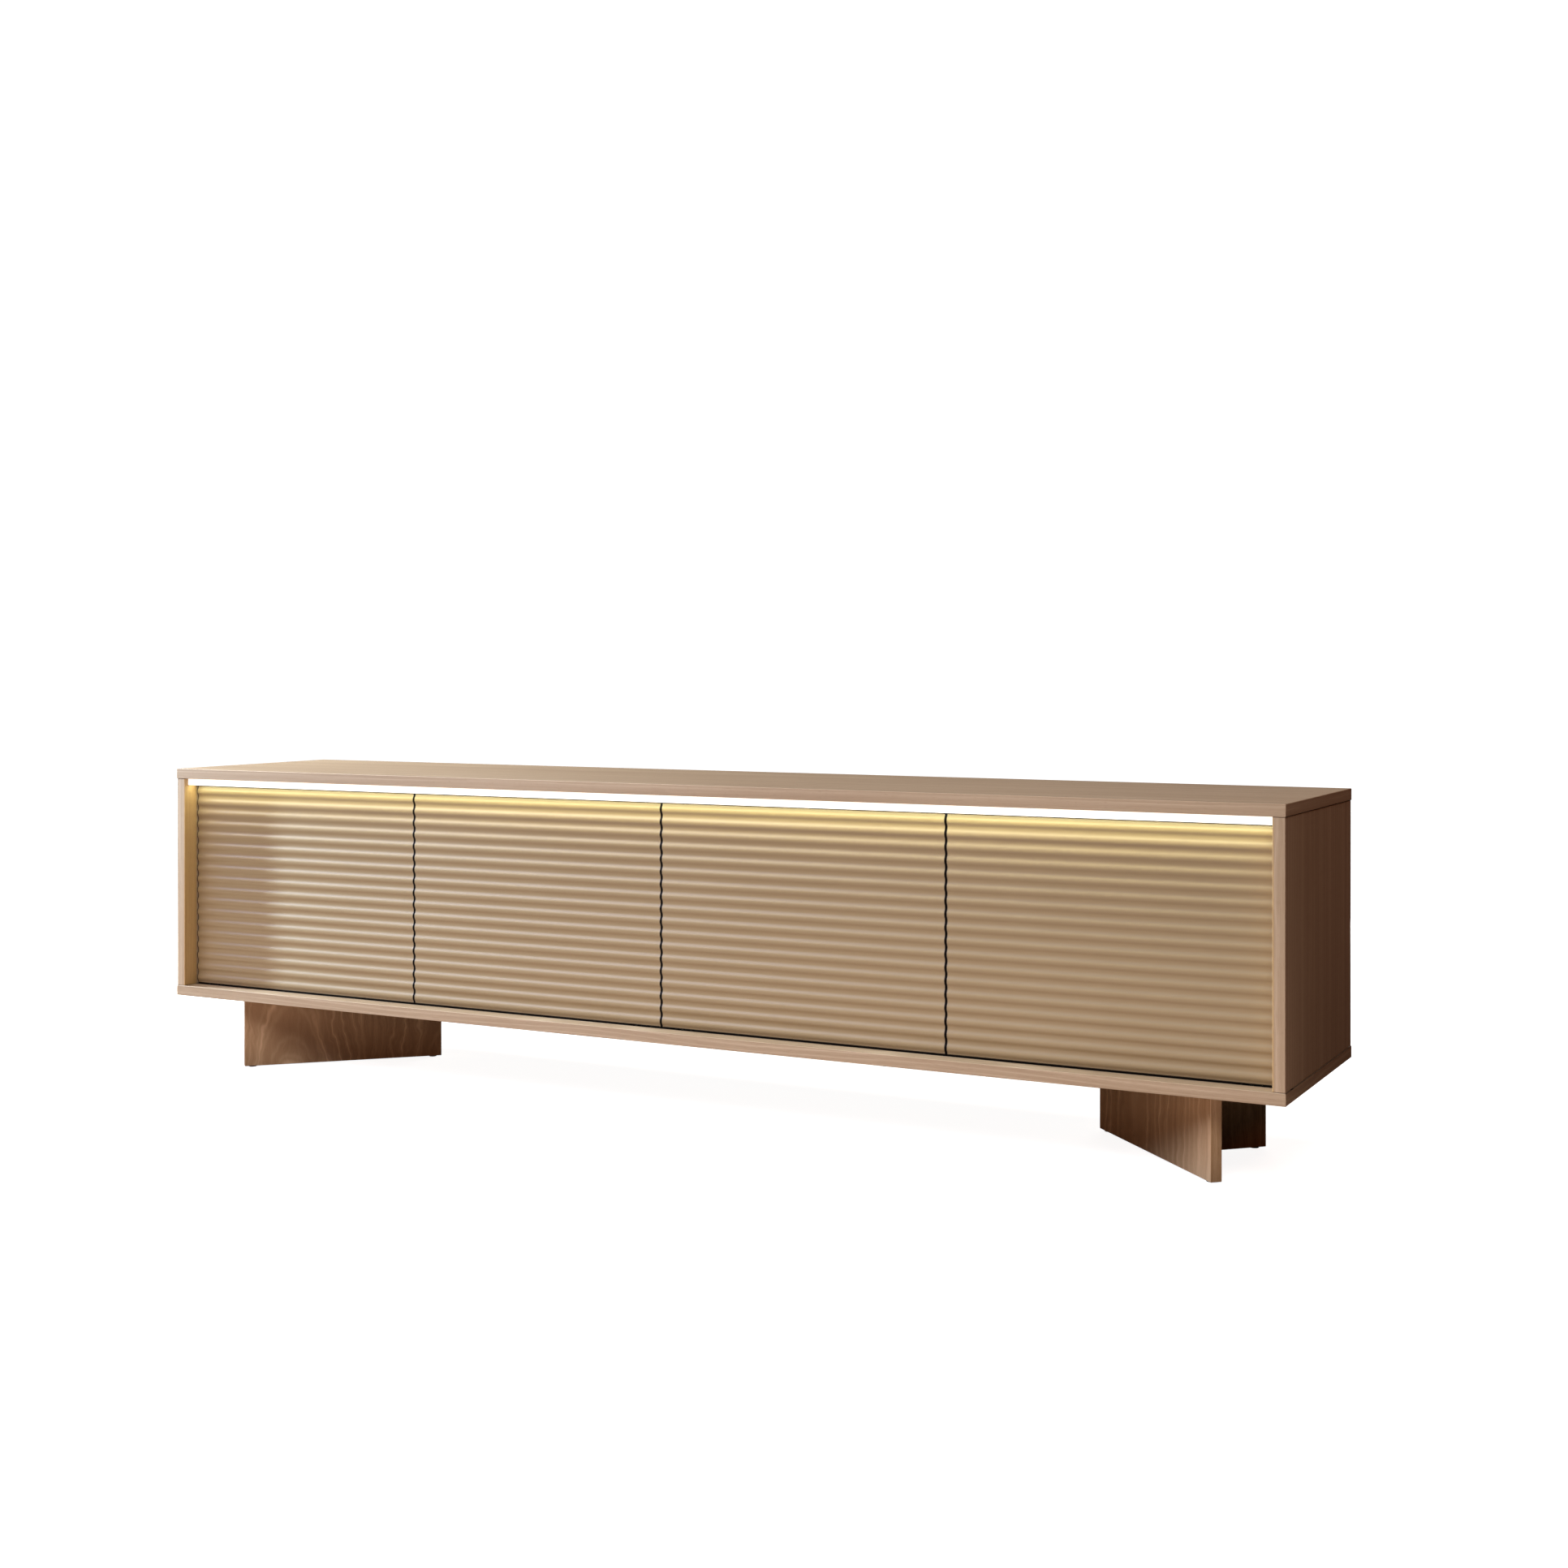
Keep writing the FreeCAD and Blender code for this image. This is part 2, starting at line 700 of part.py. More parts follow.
dowel = turned(
    "dowel_master",
    [
        ("0", "-20"),
        ("dowel / 2 - 1", "-20"),
        ("dowel / 2", "-19"),
        ("dowel / 2", "9"),
        ("dowel / 2 - 1", "10"),
        ("0", "10"),
    ],
)
# Height and turn of a fitting in a joint at the top and at the bottom of an upright.
ENDS = ((CEILING, UP), (FLOOR, DOWN))
group(
    "carcass_dowels",
    dowel,
    [(x, f"{FRONT} + {row}", z, turn) for z, turn in ENDS for x, row in DOWEL_JOINTS],
)

cam_bolt = turned(
    "cam_bolt_master",
    [
        ("0", "-37"),
        ("3.4", "-37"),
        ("3.4", "-33"),
        ("2", "-32"),
        ("2", "-29"),
        ("3", "-28"),
        ("3", "0"),
        ("2.5", "0"),
        ("2.5", "11"),
        ("0", "11"),
    ],
)
group("cam_bolts", cam_bolt, [(x, f"{FRONT} + {row}", z, turn) for z, turn in ENDS for x, row in JOINTS])

cam = turned("cam_master", [("0", "-12"), ("7.4", "-12"), ("7.4", "0"), ("0", "0")])
slot = sketch_on(cam, "cam_slot", offset="-12")
rectangle(slot, "-4", "-cam_slot / 2", "13", "cam_slot")
pocket(cam, slot, "6.8", True)
cross_recess(cam, "8", "1.4", "2")


def cam_place(x, faces, row, at_head):
    """Place and turn of a cam: its slot faces the end of the upright, its recess the compartment."""
    rightward = faces[-1] == "right"
    spin = Rotation(Vector(0, 0, 1), 180) if rightward == at_head else UP
    facing = RIGHTWARD if rightward else LEFTWARD
    z = f"({CEILING} - cam_distance)" if at_head else f"({FLOOR} + cam_distance)"
    return (f"{x} + board" if rightward else x, f"{FRONT} + {row}", z, facing.multiply(spin))


group(
    "cam_locks",
    cam,
    [
        cam_place(x, faces, row, at_head)
        for _, x, _, faces in UPRIGHTS
        for row in ("cam_front", "cam_rear")
        for at_head in (False, True)
    ],
)


def screw(label, head_diameter, head_height, shank_diameter, length):
    """A flat headed screw master, its point down and the top of its head at height 0."""
    points = [
        ("0", f"-{length}"),
        (f"{shank_diameter} / 2", f"2 - {length}"),
        (f"{shank_diameter} / 2", f"-{head_height}"),
        (f"{head_diameter} / 2", f"-{head_height}"),
        (f"{head_diameter} / 2", "0"),
        ("0", "0"),
    ]
    body = turned(label, points)
    cross_recess(body, f"{head_diameter} / 2", f"{head_diameter} / 7", f"{head_height} / 2")
    return body


back_screw = screw("back_screw_master", "6", "back_screw_head", "2.3", "16")
group(
    "back_screws",
    back_screw,
    [(x, f"({BACK_FACE} + back_sheet + back_screw_head)", z, BACKWARD) for x, z in back_screw_places],
)

# ---------------------------------------------------------------- legs


LEG_DOWEL_HEIGHTS = ("leg_dowel_low", "leg_dowel_high")


def leg(side):
    """A leg of two boards on edge: a long one, and an arm from the middle of it."""
    label, _, _, turn = side
    rotation = Rotation(Vector(0, 0, 1), turn)
    height = "(leg_height - glide_thickness)"
    tops = LEG_SCREWS[:2]
    middle = "leg_board_length / 2"
    x, y = leg_point(side, "0", "0")
    long_board = board(
        label + "_long_board", x, y, "glide_thickness", "leg_board_length", "board", height, rotation=rotation
    )
    drill(long_board, "screws", "XY_Plane", height, tops, "bolt_bore", "leg_screw_bore")
    dowels = [(middle, height_above) for height_above in LEG_DOWEL_HEIGHTS]
    drill(long_board, "dowels", "XZ_Plane", "-board", dowels, DOWEL_BORE, "dowel_panel_bore", True)
    x, y = leg_point(side, f"{middle} - board / 2", "board")
    arm = board(label + "_arm", x, y, "glide_thickness", "board", "leg_arm_length", height, rotation=rotation)
    arm_tops = [("board / 2", "leg_arm_screw_inner"), ("board / 2", "leg_arm_screw_outer")]
    drill(arm, "screws", "XY_Plane", height, arm_tops, "bolt_bore", "leg_screw_bore")
    arm_dowels = [("board / 2", height_above) for height_above in LEG_DOWEL_HEIGHTS]
    drill(arm, "dowels", "XZ_Plane", "0", arm_dowels, DOWEL_BORE, "dowel_end_bore")


for side in LEGS:
    leg(side)

group(
    "leg_dowels",
    dowel,
    [
        (
            *leg_point(side, "leg_board_length / 2", "board"),
            f"glide_thickness + {height}",
            Rotation(Vector(0, 0, 1), side[3]).multiply(FORWARD),
        )
        for side in LEGS
        for height in LEG_DOWEL_HEIGHTS
    ],
)

leg_screw = turned(
    "leg_screw_master",
    [
        ("0", "-50"),
        ("2.5", "-47"),
        ("2.5", "-board"),
        ("3.5", "-board"),
        ("3.5", "-3"),
        ("5", "-1.5"),
        ("5", "0"),
        ("0", "0"),
    ],
)
cross_recess(leg_screw, "5", "1.2", "2")
group("leg_screws", leg_screw, [(x, y, FLOOR, UP) for x, y in leg_screw_places])

glide = turned(
    "glide_master",
    [
        ("0", "0"),
        ("glide_diameter / 2 - 0.5", "0"),
        ("glide_diameter / 2", "0.5"),
        ("glide_diameter / 2", "glide_thickness"),
        ("0", "glide_thickness"),
    ],
)
GLIDES = [
    ("glide_inset", "board / 2"),
    ("leg_board_length - glide_inset", "board / 2"),
    ("leg_board_length / 2", "board + leg_arm_length - glide_inset"),
]
group("leg_glides", glide, [(*leg_point(side, u, v), "0", UP) for side in LEGS for u, v in GLIDES])

# ---------------------------------------------------------------- doors

RIPPLE_RADIUS = "((ripple_pitch ^ 2 / 16 + ripple_depth ^ 2 / 4) / ripple_depth)"


def ripple_profile(sketch):
    """One ripple from valley to valley: three tangent arcs of one radius on a shallow foot."""
    pitch = number("ripple_pitch")
    depth = number("ripple_depth")
    radius = number(RIPPLE_RADIUS)
    foot = number("ripple_depth + ripple_foot")
    turn = math.asin(pitch / 4 / radius)
    arcs = [
        (Vector(depth - radius, 0), 0, turn),
        (Vector(radius, pitch / 2), math.pi - turn, math.pi + turn),
        (Vector(depth - radius, pitch), -turn, 0),
    ]
    for centre, start, end in arcs:
        whole = Part.Circle(centre, Vector(0, 0, 1), radius)
        sketch.addGeometry(Part.ArcOfCircle(whole, start, end))
    corners = [Vector(depth, pitch), Vector(foot, pitch), Vector(foot, 0), Vector(depth, 0)]
    for start, end in zip(corners, corners[1:]):
        sketch.addGeometry(Part.LineSegment(start, end))
    lower, crest, upper, head, back, heel = range(6)
    for constraint in (
        ("Tangent", lower, 2, crest, 2),
        ("Tangent", crest, 1, upper, 1),
        ("Equal", lower, crest),
        ("Equal", crest, upper),
        ("PointOnObject", lower, 3, -1),
        ("PointOnObject", lower, 1, -1),
        ("Coincident", upper, 2, head, 1),
        ("Coincident", head, 2, back, 1),
        ("Coincident", back, 2, heel, 1),
        ("Coincident", heel, 2, lower, 1),
        ("Horizontal", head),
        ("Vertical", back),
        ("Horizontal", heel),
    ):
        sketch.addConstraint(Sketcher.Constraint(*constraint))
    dimension(sketch, RIPPLE_RADIUS, "Radius", lower)
    dimension(sketch, "ripple_depth", "DistanceX", -1, 1, lower, 1)
    dimension(sketch, "ripple_depth", "DistanceX", -1, 1, upper, 2)
    dimension(sketch, "ripple_pitch", "DistanceY", -1, 1, upper, 3)
    dimension(sketch, "ripple_pitch", "DistanceY", -1, 1, upper, 2)
    dimension(sketch, "ripple_depth + ripple_foot", "DistanceX", -1, 1, back, 1)


def repeat(body, feature, sketch, axis, pitch, count):
    """Repeats a feature in a straight row."""
    pattern = body.newObject("PartDesign::LinearPattern", feature.Name + "_row")
    pattern.Originals = [feature]
    pattern.Direction = (sketch, [axis])
    bind(pattern, Length=f"({count} - 1) * {pitch}", Occurrences=count)
    body.Tip = pattern
    doc.recompute()


def door(label, place, hung_left):
    """A door panel with its rippled face to the front, bored for its bushes and strike."""
    left = f"({seam(place)} + door_gap / 2)"
    body = new_body(label, left, DOOR_FACE, DOOR_BOTTOM)
    slab = sketch_on(body, label + "_slab")
    base = "(ripple_depth + ripple_foot)"
    rectangle(slab, "0", base, DOOR_WIDTH, f"(door_thickness - {base})")
    pad(body, slab, DOOR_HEIGHT)
    ripple = sketch_on(body, label + "_ripple", "YZ_Plane")
    ripple_profile(ripple)
    one_ripple = pad(body, ripple, DOOR_WIDTH)
    repeat(body, one_ripple, ripple, "V_Axis", "ripple_pitch", "ripple_count")
    pivot = [(f"{pivot_x(place, hung_left)} - {left}", "pivot_setback")]
    bore = "bush_diameter + bore_play"
    drill(body, "bush_foot", "XY_Plane", "0", pivot, bore, "bush_length", True)
    drill(body, "bush_head", "XY_Plane", DOOR_HEIGHT, pivot, bore, "bush_length")
    strike = [(f"{latch_x(place, hung_left)} - {left}", f"latch_height - {DOOR_BOTTOM}")]
    recess = "strike_diameter + bore_play"
    drill(body, "strike_recess", "XZ_Plane", "-door_thickness", strike, recess, "strike_thickness", True)


bush = turned(
    "bush_master",
    [
        ("pivot_pin / 2 + pin_play", "-bush_length"),
        ("bush_diameter / 2", "-bush_length"),
        ("bush_diameter / 2", "0"),
        ("pivot_pin / 2 + pin_play", "0"),
    ],
)
strike_disc = turned(
    "strike_master",
    [
        ("0", "-strike_thickness"),
        ("strike_diameter / 2", "-strike_thickness"),
        ("strike_diameter / 2", "0"),
        ("0", "0"),
    ],
)
for label, place, hung_left in DOORS:
    door(label, place, hung_left)
    pivot = pivot_x(place, hung_left)
    ends = [
        (pivot, PIVOT_Y, f"({DOOR_BOTTOM} + {DOOR_HEIGHT})", UP),
        (pivot, PIVOT_Y, DOOR_BOTTOM, DOWN),
    ]
    group(label + "_bushes", bush, ends)
    centre = (latch_x(place, hung_left), DOOR_BACK, "latch_height", BACKWARD)
    group(label + "_strike", strike_disc, [centre])

# ---------------------------------------------------------------- door pivots

PLATE_HOLES = [("-plate_screw_offset", "0"), ("plate_screw_offset", "0")]


def is_upright(edge):
    """Whether a straight edge runs along Z."""
    return abs(edge.tangentAt(edge.FirstParameter).z) > 0.9


def pivot_plate(label, screw_face):
    """A pivot plate, its upper face at height 0, counterbored from above or from below."""
    plate = new_body(label, is_node=False)
    sketch = sketch_on(plate, label + "_outline")
    rectangle(sketch, "-plate_length / 2", "-plate_width / 2", "plate_length", "plate_width")
    blank = pad(plate, sketch, "plate_thickness", True)
    ease_edges(plate, blank, "plate_corner", is_upright)
    offset = "0" if screw_face == "upper" else "-plate_thickness"
    upward = screw_face == "lower"
    drill(plate, "screws", "XY_Plane", offset, PLATE_HOLES, "screw_hole", "plate_thickness", upward)
    head = ("plate_head_diameter", "plate_head_depth")
    drill(plate, "screw_heads", "XY_Plane", offset, PLATE_HOLES, *head, upward)
    return plate


lower_plate = pivot_plate("lower_plate_master", "upper")
drill(lower_plate, "pin", "XY_Plane", "0", [("0", "0")], "pivot_pin + bore_play", "plate_thickness")
group("lower_pivot_plates", lower_plate, [(x, PIVOT_Y, FLOOR, UP) for x in PIVOTS])

upper_plate = pivot_plate("upper_plate_master", "lower")
boss = sketch_on(upper_plate, "upper_plate_boss", offset="-plate_thickness")
circle(boss, "0", "0", "boss_diameter")
pad(upper_plate, boss, "boss_height", True)
boss_bore = ("pin_body + bore_play", "plate_thickness + boss_height")
drill(upper_plate, "pin", "XY_Plane", "0", [("0", "0")], *boss_bore)
group("upper_pivot_plates", upper_plate, [(x, PIVOT_Y, CEILING, UP) for x in PIVOTS])

lower_pin = turned(
    "lower_pin_master",
    [
        ("0", "-plate_thickness"),
        ("pivot_pin / 2", "-plate_thickness"),
        ("pivot_pin / 2", "0"),
        ("collar_diameter / 2", "0"),
        ("collar_diameter / 2", "door_floor_gap - collar_play"),
        ("pivot_pin / 2", "door_floor_gap - collar_play"),
        ("pivot_pin / 2", "door_floor_gap + pin_reach"),
        ("pivot_pin / 2 - pin_taper", "door_floor_gap + pin_reach + pin_taper"),
        ("0", "door_floor_gap + pin_reach + pin_taper"),
    ],
)
group("lower_pivot_pins", lower_pin, [(x, PIVOT_Y, FLOOR, UP) for x in PIVOTS])

DOOR_HEAD_GAP = f"({CEILING} - {DOOR_BOTTOM} - {DOOR_HEIGHT})"
upper_pin = turned(
    "upper_pin_master",
    [
        ("0", f"-{DOOR_HEAD_GAP} - pin_reach - pin_taper"),
        ("pivot_pin / 2 - pin_taper", f"-{DOOR_HEAD_GAP} - pin_reach - pin_taper"),
        ("pivot_pin / 2", f"-{DOOR_HEAD_GAP} - pin_reach"),
        ("pivot_pin / 2", "-plate_thickness - boss_height"),
        ("pin_body / 2", "-plate_thickness - boss_height"),
        ("pin_body / 2", "-0.2"),
        ("0", "-0.2"),
    ],
)
group("upper_pivot_pins", upper_pin, [(x, PIVOT_Y, CEILING, UP) for x in PIVOTS])

plate_screw = screw("plate_screw_master", "5", "plate_head_depth", "2.9", "13")
group(
    "pivot_screws",
    plate_screw,
    [
        (f"{x} {side} plate_screw_offset", PIVOT_Y, z, turn)
        for x, side in PLATE_SCREWS
        for z, turn in ((FLOOR, UP), (f"({CEILING} - plate_thickness)", DOWN))
    ],
)

# ---------------------------------------------------------------- push latches

LATCH_FRONT = f"({FRONT} + latch_reach)"
PLUNGER_TIP = f"({DOOR_BACK} + plunger_rest_gap)"
LATCHES = [
    (label, latch_x(place, hung_left), -1 if hung_left else 1) for label, place, hung_left in DOORS
]

housing = new_body("latch_housing_master", is_node=False)
foot_plate = sketch_on(housing, "latch_foot", offset="-latch_screw_rise - latch_plate_margin")
rectangle(foot_plate, "0", "0", "latch_plate", "latch_length")
pad(housing, foot_plate, "2 * (latch_screw_rise + latch_plate_margin)")
barrel = sketch_on(housing, "latch_barrel", offset="-latch_barrel_height / 2")
rectangle(barrel, "latch_plate", "0", "latch_barrel_width", "latch_length")
pad(housing, barrel, "latch_barrel_height")
latch_bore = "plunger_diameter + latch_bore_play"
drill(housing, "plunger", "XZ_Plane", "0", [("latch_axis", "0")], latch_bore, "latch_bore_depth")
latch_holes = [(along, f"{rise} * latch_screw_rise") for along, rise in LATCH_SCREWS]
drill(housing, "screws", "YZ_Plane", "0", latch_holes, "screw_hole", "latch_plate", True)
TURNED_OVER = Rotation(Vector(0, 1, 0), 180)
group(
    "latch_housings",
    housing,
    [
        (f"{x} - {side} * latch_axis", LATCH_FRONT, "latch_height", UP if side > 0 else TURNED_OVER)
        for _, x, side in LATCHES
    ],
)

latch_screw = screw("latch_screw_master", "5.5", "latch_screw_head", "2.9", "11.6")
group(
    "latch_screws",
    latch_screw,
    [
        (
            f"{x} - {side} * (latch_axis - latch_plate - latch_screw_head)",
            f"{LATCH_FRONT} + {along}",
            f"latch_height + {side * rise} * latch_screw_rise",
            RIGHTWARD if side > 0 else LEFTWARD,
        )
        for _, x, side in LATCHES
        for along, rise in LATCH_SCREWS
    ],
)

plunger = turned(
    "plunger_master",
    [
        ("0", "-plunger_length"),
        ("plunger_diameter / 2", "-plunger_length"),
        ("plunger_diameter / 2", "-plunger_taper"),
        ("plunger_diameter / 2 - plunger_taper", "0"),
        ("0", "0"),
    ],
)
for label, x, _ in LATCHES:
    name = label.replace("door", "latch_plunger")
    group(name, plunger, [(x, PLUNGER_TIP, "latch_height", FORWARD)])

spring = new_body("latch_spring_master", is_node=False)
wire = sketch_on(spring, "latch_spring_wire", "XZ_Plane")
circle(wire, "spring_radius", "0.5", "spring_wire")
coil = spring.newObject("PartDesign::AdditiveHelix", "latch_spring_coil")
coil.Profile = wire
coil.ReferenceAxis = (wire, ["V_Axis"])
coil.Mode = 0
bind(coil, Pitch="spring_pitch", Height="spring_length")
doc.recompute()
SPRING_START = f"({PLUNGER_TIP} + plunger_length + spring_room)"
group("latch_springs", spring, [(x, SPRING_START, "latch_height", BACKWARD) for _, x, _ in LATCHES])

# ---------------------------------------------------------------- light bar

BAR_X = f"(-{INNER} + bar_end_play + bar_wall)"
BAR_LENGTH = f"(2 * ({INNER} - bar_end_play - bar_wall))"
BAR_Z = f"({CEILING} - bar_height)"
LEAD_IN_BAR = "(bar_height - lead_drop)"


def bar_profile(label, points):
    """A straight section of the light bar, its outline measured from the bar's lower front edge."""
    body = new_body(label, BAR_X, BAR_Y, BAR_Z)
    sketch = sketch_on(body, label + "_section", "YZ_Plane")
    outline(sketch, points)
    pad(body, sketch, BAR_LENGTH)
    return body


channel = bar_profile(
    "led_channel",
    [
        ("bar_depth - bar_wall", "bar_wall"),
        ("bar_depth", "bar_wall"),
        ("bar_depth", "bar_height"),
        ("cover_wall", "bar_height"),
        ("cover_wall", "bar_height - bar_wall"),
        ("bar_depth - bar_wall", "bar_height - bar_wall"),
    ],
)
channel_screws = [(f"{x} - {BAR_X}", "bar_depth / 2") for x in BAR_SCREWS]
drill(channel, "screws", "XY_Plane", "bar_height", channel_screws, "screw_hole", "bar_wall")
lead_hole = [(f"{INLET_X} - {BAR_X}", LEAD_IN_BAR)]
lead_bore = "lead_diameter + 2 * bore_play"
drill(channel, "lead", "XZ_Plane", "-bar_depth", lead_hole, lead_bore, "bar_wall", True)

bar_profile(
    "led_cover",
    [
        ("0", "0"),
        ("bar_depth", "0"),
        ("bar_depth", "bar_wall"),
        ("cover_wall", "bar_wall"),
        ("cover_wall", "bar_height"),
        ("0", "bar_height"),
    ],
)

STRIP_FACE = "(bar_depth - 2 * bar_wall)"
strip = new_body("led_strip", BAR_X, BAR_Y, BAR_Z)
tape = sketch_on(strip, "led_tape", offset="tape_rise")
rectangle(tape, "tape_margin", STRIP_FACE, f"({BAR_LENGTH} - 2 * tape_margin)", "bar_wall")
pad(strip, tape, "tape_width")
chip = sketch_on(strip, "led_chips", offset="tape_rise + tape_width / 2 - led_chip / 2")
rectangle(chip, "led_first", f"({STRIP_FACE} - led_chip_height)", "led_chip", "led_chip_height")
one_chip = pad(strip, chip, "led_chip")
repeat(strip, one_chip, chip, "H_Axis", "led_pitch", "led_count")

end_cap = new_body("end_cap_master", is_node=False)
cap = sketch_on(end_cap, "end_cap_outline")
rectangle(cap, "0", "0", "bar_wall", "bar_depth")
pad(end_cap, cap, "bar_height")
CAP_PLACES = [f"(-{INNER} + bar_end_play)", f"({INNER} - bar_end_play - bar_wall)"]
group("led_end_caps", end_cap, [(x, BAR_Y, BAR_Z, UP) for x in CAP_PLACES])

bar_screw = screw("led_screw_master", "5", "bar_screw_head", "2.9", "13")
BAR_SCREW_Z = f"({CEILING} - bar_wall - bar_screw_head)"
bar_screw_places = [(x, f"({BAR_Y} + bar_depth / 2)", BAR_SCREW_Z, DOWN) for x in BAR_SCREWS]
group("led_screws", bar_screw, bar_screw_places)

# ---------------------------------------------------------------- lead, power inlet and grommets


def lead():
    """The lead from the light bar, back under the top panel, down and into the power inlet."""
    radius = number("lead_diameter / 2")
    bend = number("lead_bend")
    slant = bend * (1 - math.sqrt(0.5))
    start = number(f"{BAR_Y} + bar_depth - bar_wall")
    drop = number("lead_turn_y")
    high = number(f"{CEILING} - lead_drop")
    low = number("inlet_height")
    end = number(f"{BACK_FACE} + back_sheet - inlet_length")

    def point(y, z):
        """A point of the lead's path, in its own plane."""
        return Vector(0, y, z)

    path = Part.Wire(
        [
            Part.LineSegment(point(start, high), point(drop - bend, high)).toShape(),
            Part.Arc(
                point(drop - bend, high), point(drop - slant, high - slant), point(drop, high - bend)
            ).toShape(),
            Part.LineSegment(point(drop, high - bend), point(drop, low + bend)).toShape(),
            Part.Arc(
                point(drop, low + bend), point(drop + slant, low + slant), point(drop + bend, low)
            ).toShape(),
            Part.LineSegment(point(drop + bend, low), point(end, low)).toShape(),
        ]
    )
    section = Part.Wire([Part.Circle(point(start, high), Vector(0, 1, 0), radius).toShape()])
    tube = path.makePipeShell([section], True, False)
    expected = math.pi * radius**2 * path.Length
    if abs(tube.Volume - expected) > 0.01 * expected:
        raise ValueError("the lead's volume is not its section times its length")
    print(f"lead: length {path.Length:.1f} mm, bends of radius {bend:g} mm")
    feature = doc.addObject("Part::Feature", "led_lead")
    feature.Shape = tube
    feature.Placement = Placement(Vector(number(INLET_X), 0, 0), Rotation())
    nodes.append(feature)


lead()

clip = new_body("lead_clip_master", is_node=False)
clip_side = sketch_on(clip, "lead_clip_side", "XZ_Plane")
rectangle(clip_side, "-clip_size / 2", "-clip_size", "clip_size", "clip_size")
pad(clip, clip_side, "clip_length")
clip_bore = "lead_diameter + bore_play"
drill(clip, "lead", "XZ_Plane", "clip_length", [("0", "-lead_drop")], clip_bore, "clip_length")
CLIP_ROWS = [f"({FRONT} + clip_front + {step} * clip_pitch)" for step in range(3)]
group("lead_clips", clip, [(INLET_X, row, CEILING, UP) for row in CLIP_ROWS])

BACK_OUTSIDE = f"({BACK_FACE} + back_sheet)"
inlet = turned(
    "power_inlet_master",
    [
        ("0", "-inlet_length"),
        ("inlet_diameter / 2", "-inlet_length"),
        ("inlet_diameter / 2", "0"),
        ("inlet_flange", "0"),
        ("inlet_flange", "inlet_flange_height"),
        ("inlet_socket", "inlet_flange_height"),
        ("inlet_socket", "-inlet_socket_depth"),
        ("inlet_pin", "-inlet_socket_depth"),
        ("inlet_pin", "0.5"),
        ("0", "0.5"),
    ],
)
group("power_inlet", inlet, [(INLET_X, BACK_OUTSIDE, "inlet_height", BACKWARD)])
nut = turned(
    "inlet_nut_master",
    [
        ("inlet_diameter / 2 + bore_play / 2", "-back_sheet - inlet_nut"),
        ("inlet_flange - 0.5", "-back_sheet - inlet_nut"),
        ("inlet_flange - 0.5", "-back_sheet"),
        ("inlet_diameter / 2 + bore_play / 2", "-back_sheet"),
    ],
)
group("inlet_nut", nut, [(INLET_X, BACK_OUTSIDE, "inlet_height", BACKWARD)])

grommet = turned(
    "grommet_master",
    [
        ("outlet_diameter / 2 - grommet_wall", "-grommet_length"),
        ("outlet_diameter / 2 - bore_play", "-grommet_length"),
        ("outlet_diameter / 2 - bore_play", "0"),
        ("outlet_diameter / 2 + grommet_flange", "0"),
        ("outlet_diameter / 2 + grommet_flange - 1", "grommet_flange_height"),
        ("outlet_diameter / 2 - grommet_wall", "grommet_flange_height"),
    ],
)
group("cable_grommets", grommet, [(x, BACK_OUTSIDE, "outlet_height", BACKWARD) for x in OUTLETS])

# ---------------------------------------------------------------- checks and export

doc.recompute()
for item in doc.Objects:
    if {"Invalid", "Error"} & set(item.State):
        raise ValueError(f"{item.Label} did not build: {item.State}")
for node in nodes:
    if node.Shape.isNull() or not node.Shape.isValid() or not node.Shape.Solids:
        raise ValueError(f"{node.Label} has no valid solid")

os.makedirs("parts", exist_ok=True)
for node in nodes:
    node.Shape.exportStep(f"parts/{node.Label}.step")
print(f"{len(nodes)} nodes, {sum(len(node.Shape.Solids) for node in nodes)} solids")
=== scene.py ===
"""The looks of the media cabinet: veneered boards, lacquered doors, a lit bar, its fittings and a studio.

Every CAD node keeps its own shape and takes a procedural material. Sizes are in metres, in the frame of the
model: X to the right, Y to the back, Z up, with the origin on the floor under the middle of the cabinet.
"""

import math
from collections import namedtuple

import bpy
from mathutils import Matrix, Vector

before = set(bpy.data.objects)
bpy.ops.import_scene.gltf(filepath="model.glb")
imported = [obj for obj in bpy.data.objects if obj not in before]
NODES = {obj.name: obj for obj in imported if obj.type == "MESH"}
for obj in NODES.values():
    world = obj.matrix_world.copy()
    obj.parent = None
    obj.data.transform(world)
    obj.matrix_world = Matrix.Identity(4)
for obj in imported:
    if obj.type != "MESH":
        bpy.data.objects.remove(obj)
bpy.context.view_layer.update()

MM = 0.001
X, Y, Z = Vector((1, 0, 0)), Vector((0, 1, 0)), Vector((0, 0, 1))
DIAGONAL_LEFT = Vector((1, 1, 0)).normalized()
DIAGONAL_RIGHT = Vector((-1, 1, 0)).normalized()

# How much of a normal lies along an axis, from where a surface doesn't face that way to where it fully does.
FACING = (0.75, 0.85)

DOORS = ("outer_left", "inner_left", "inner_right", "outer_right")


# ------------------------------------------------------------------------------------------ nodes


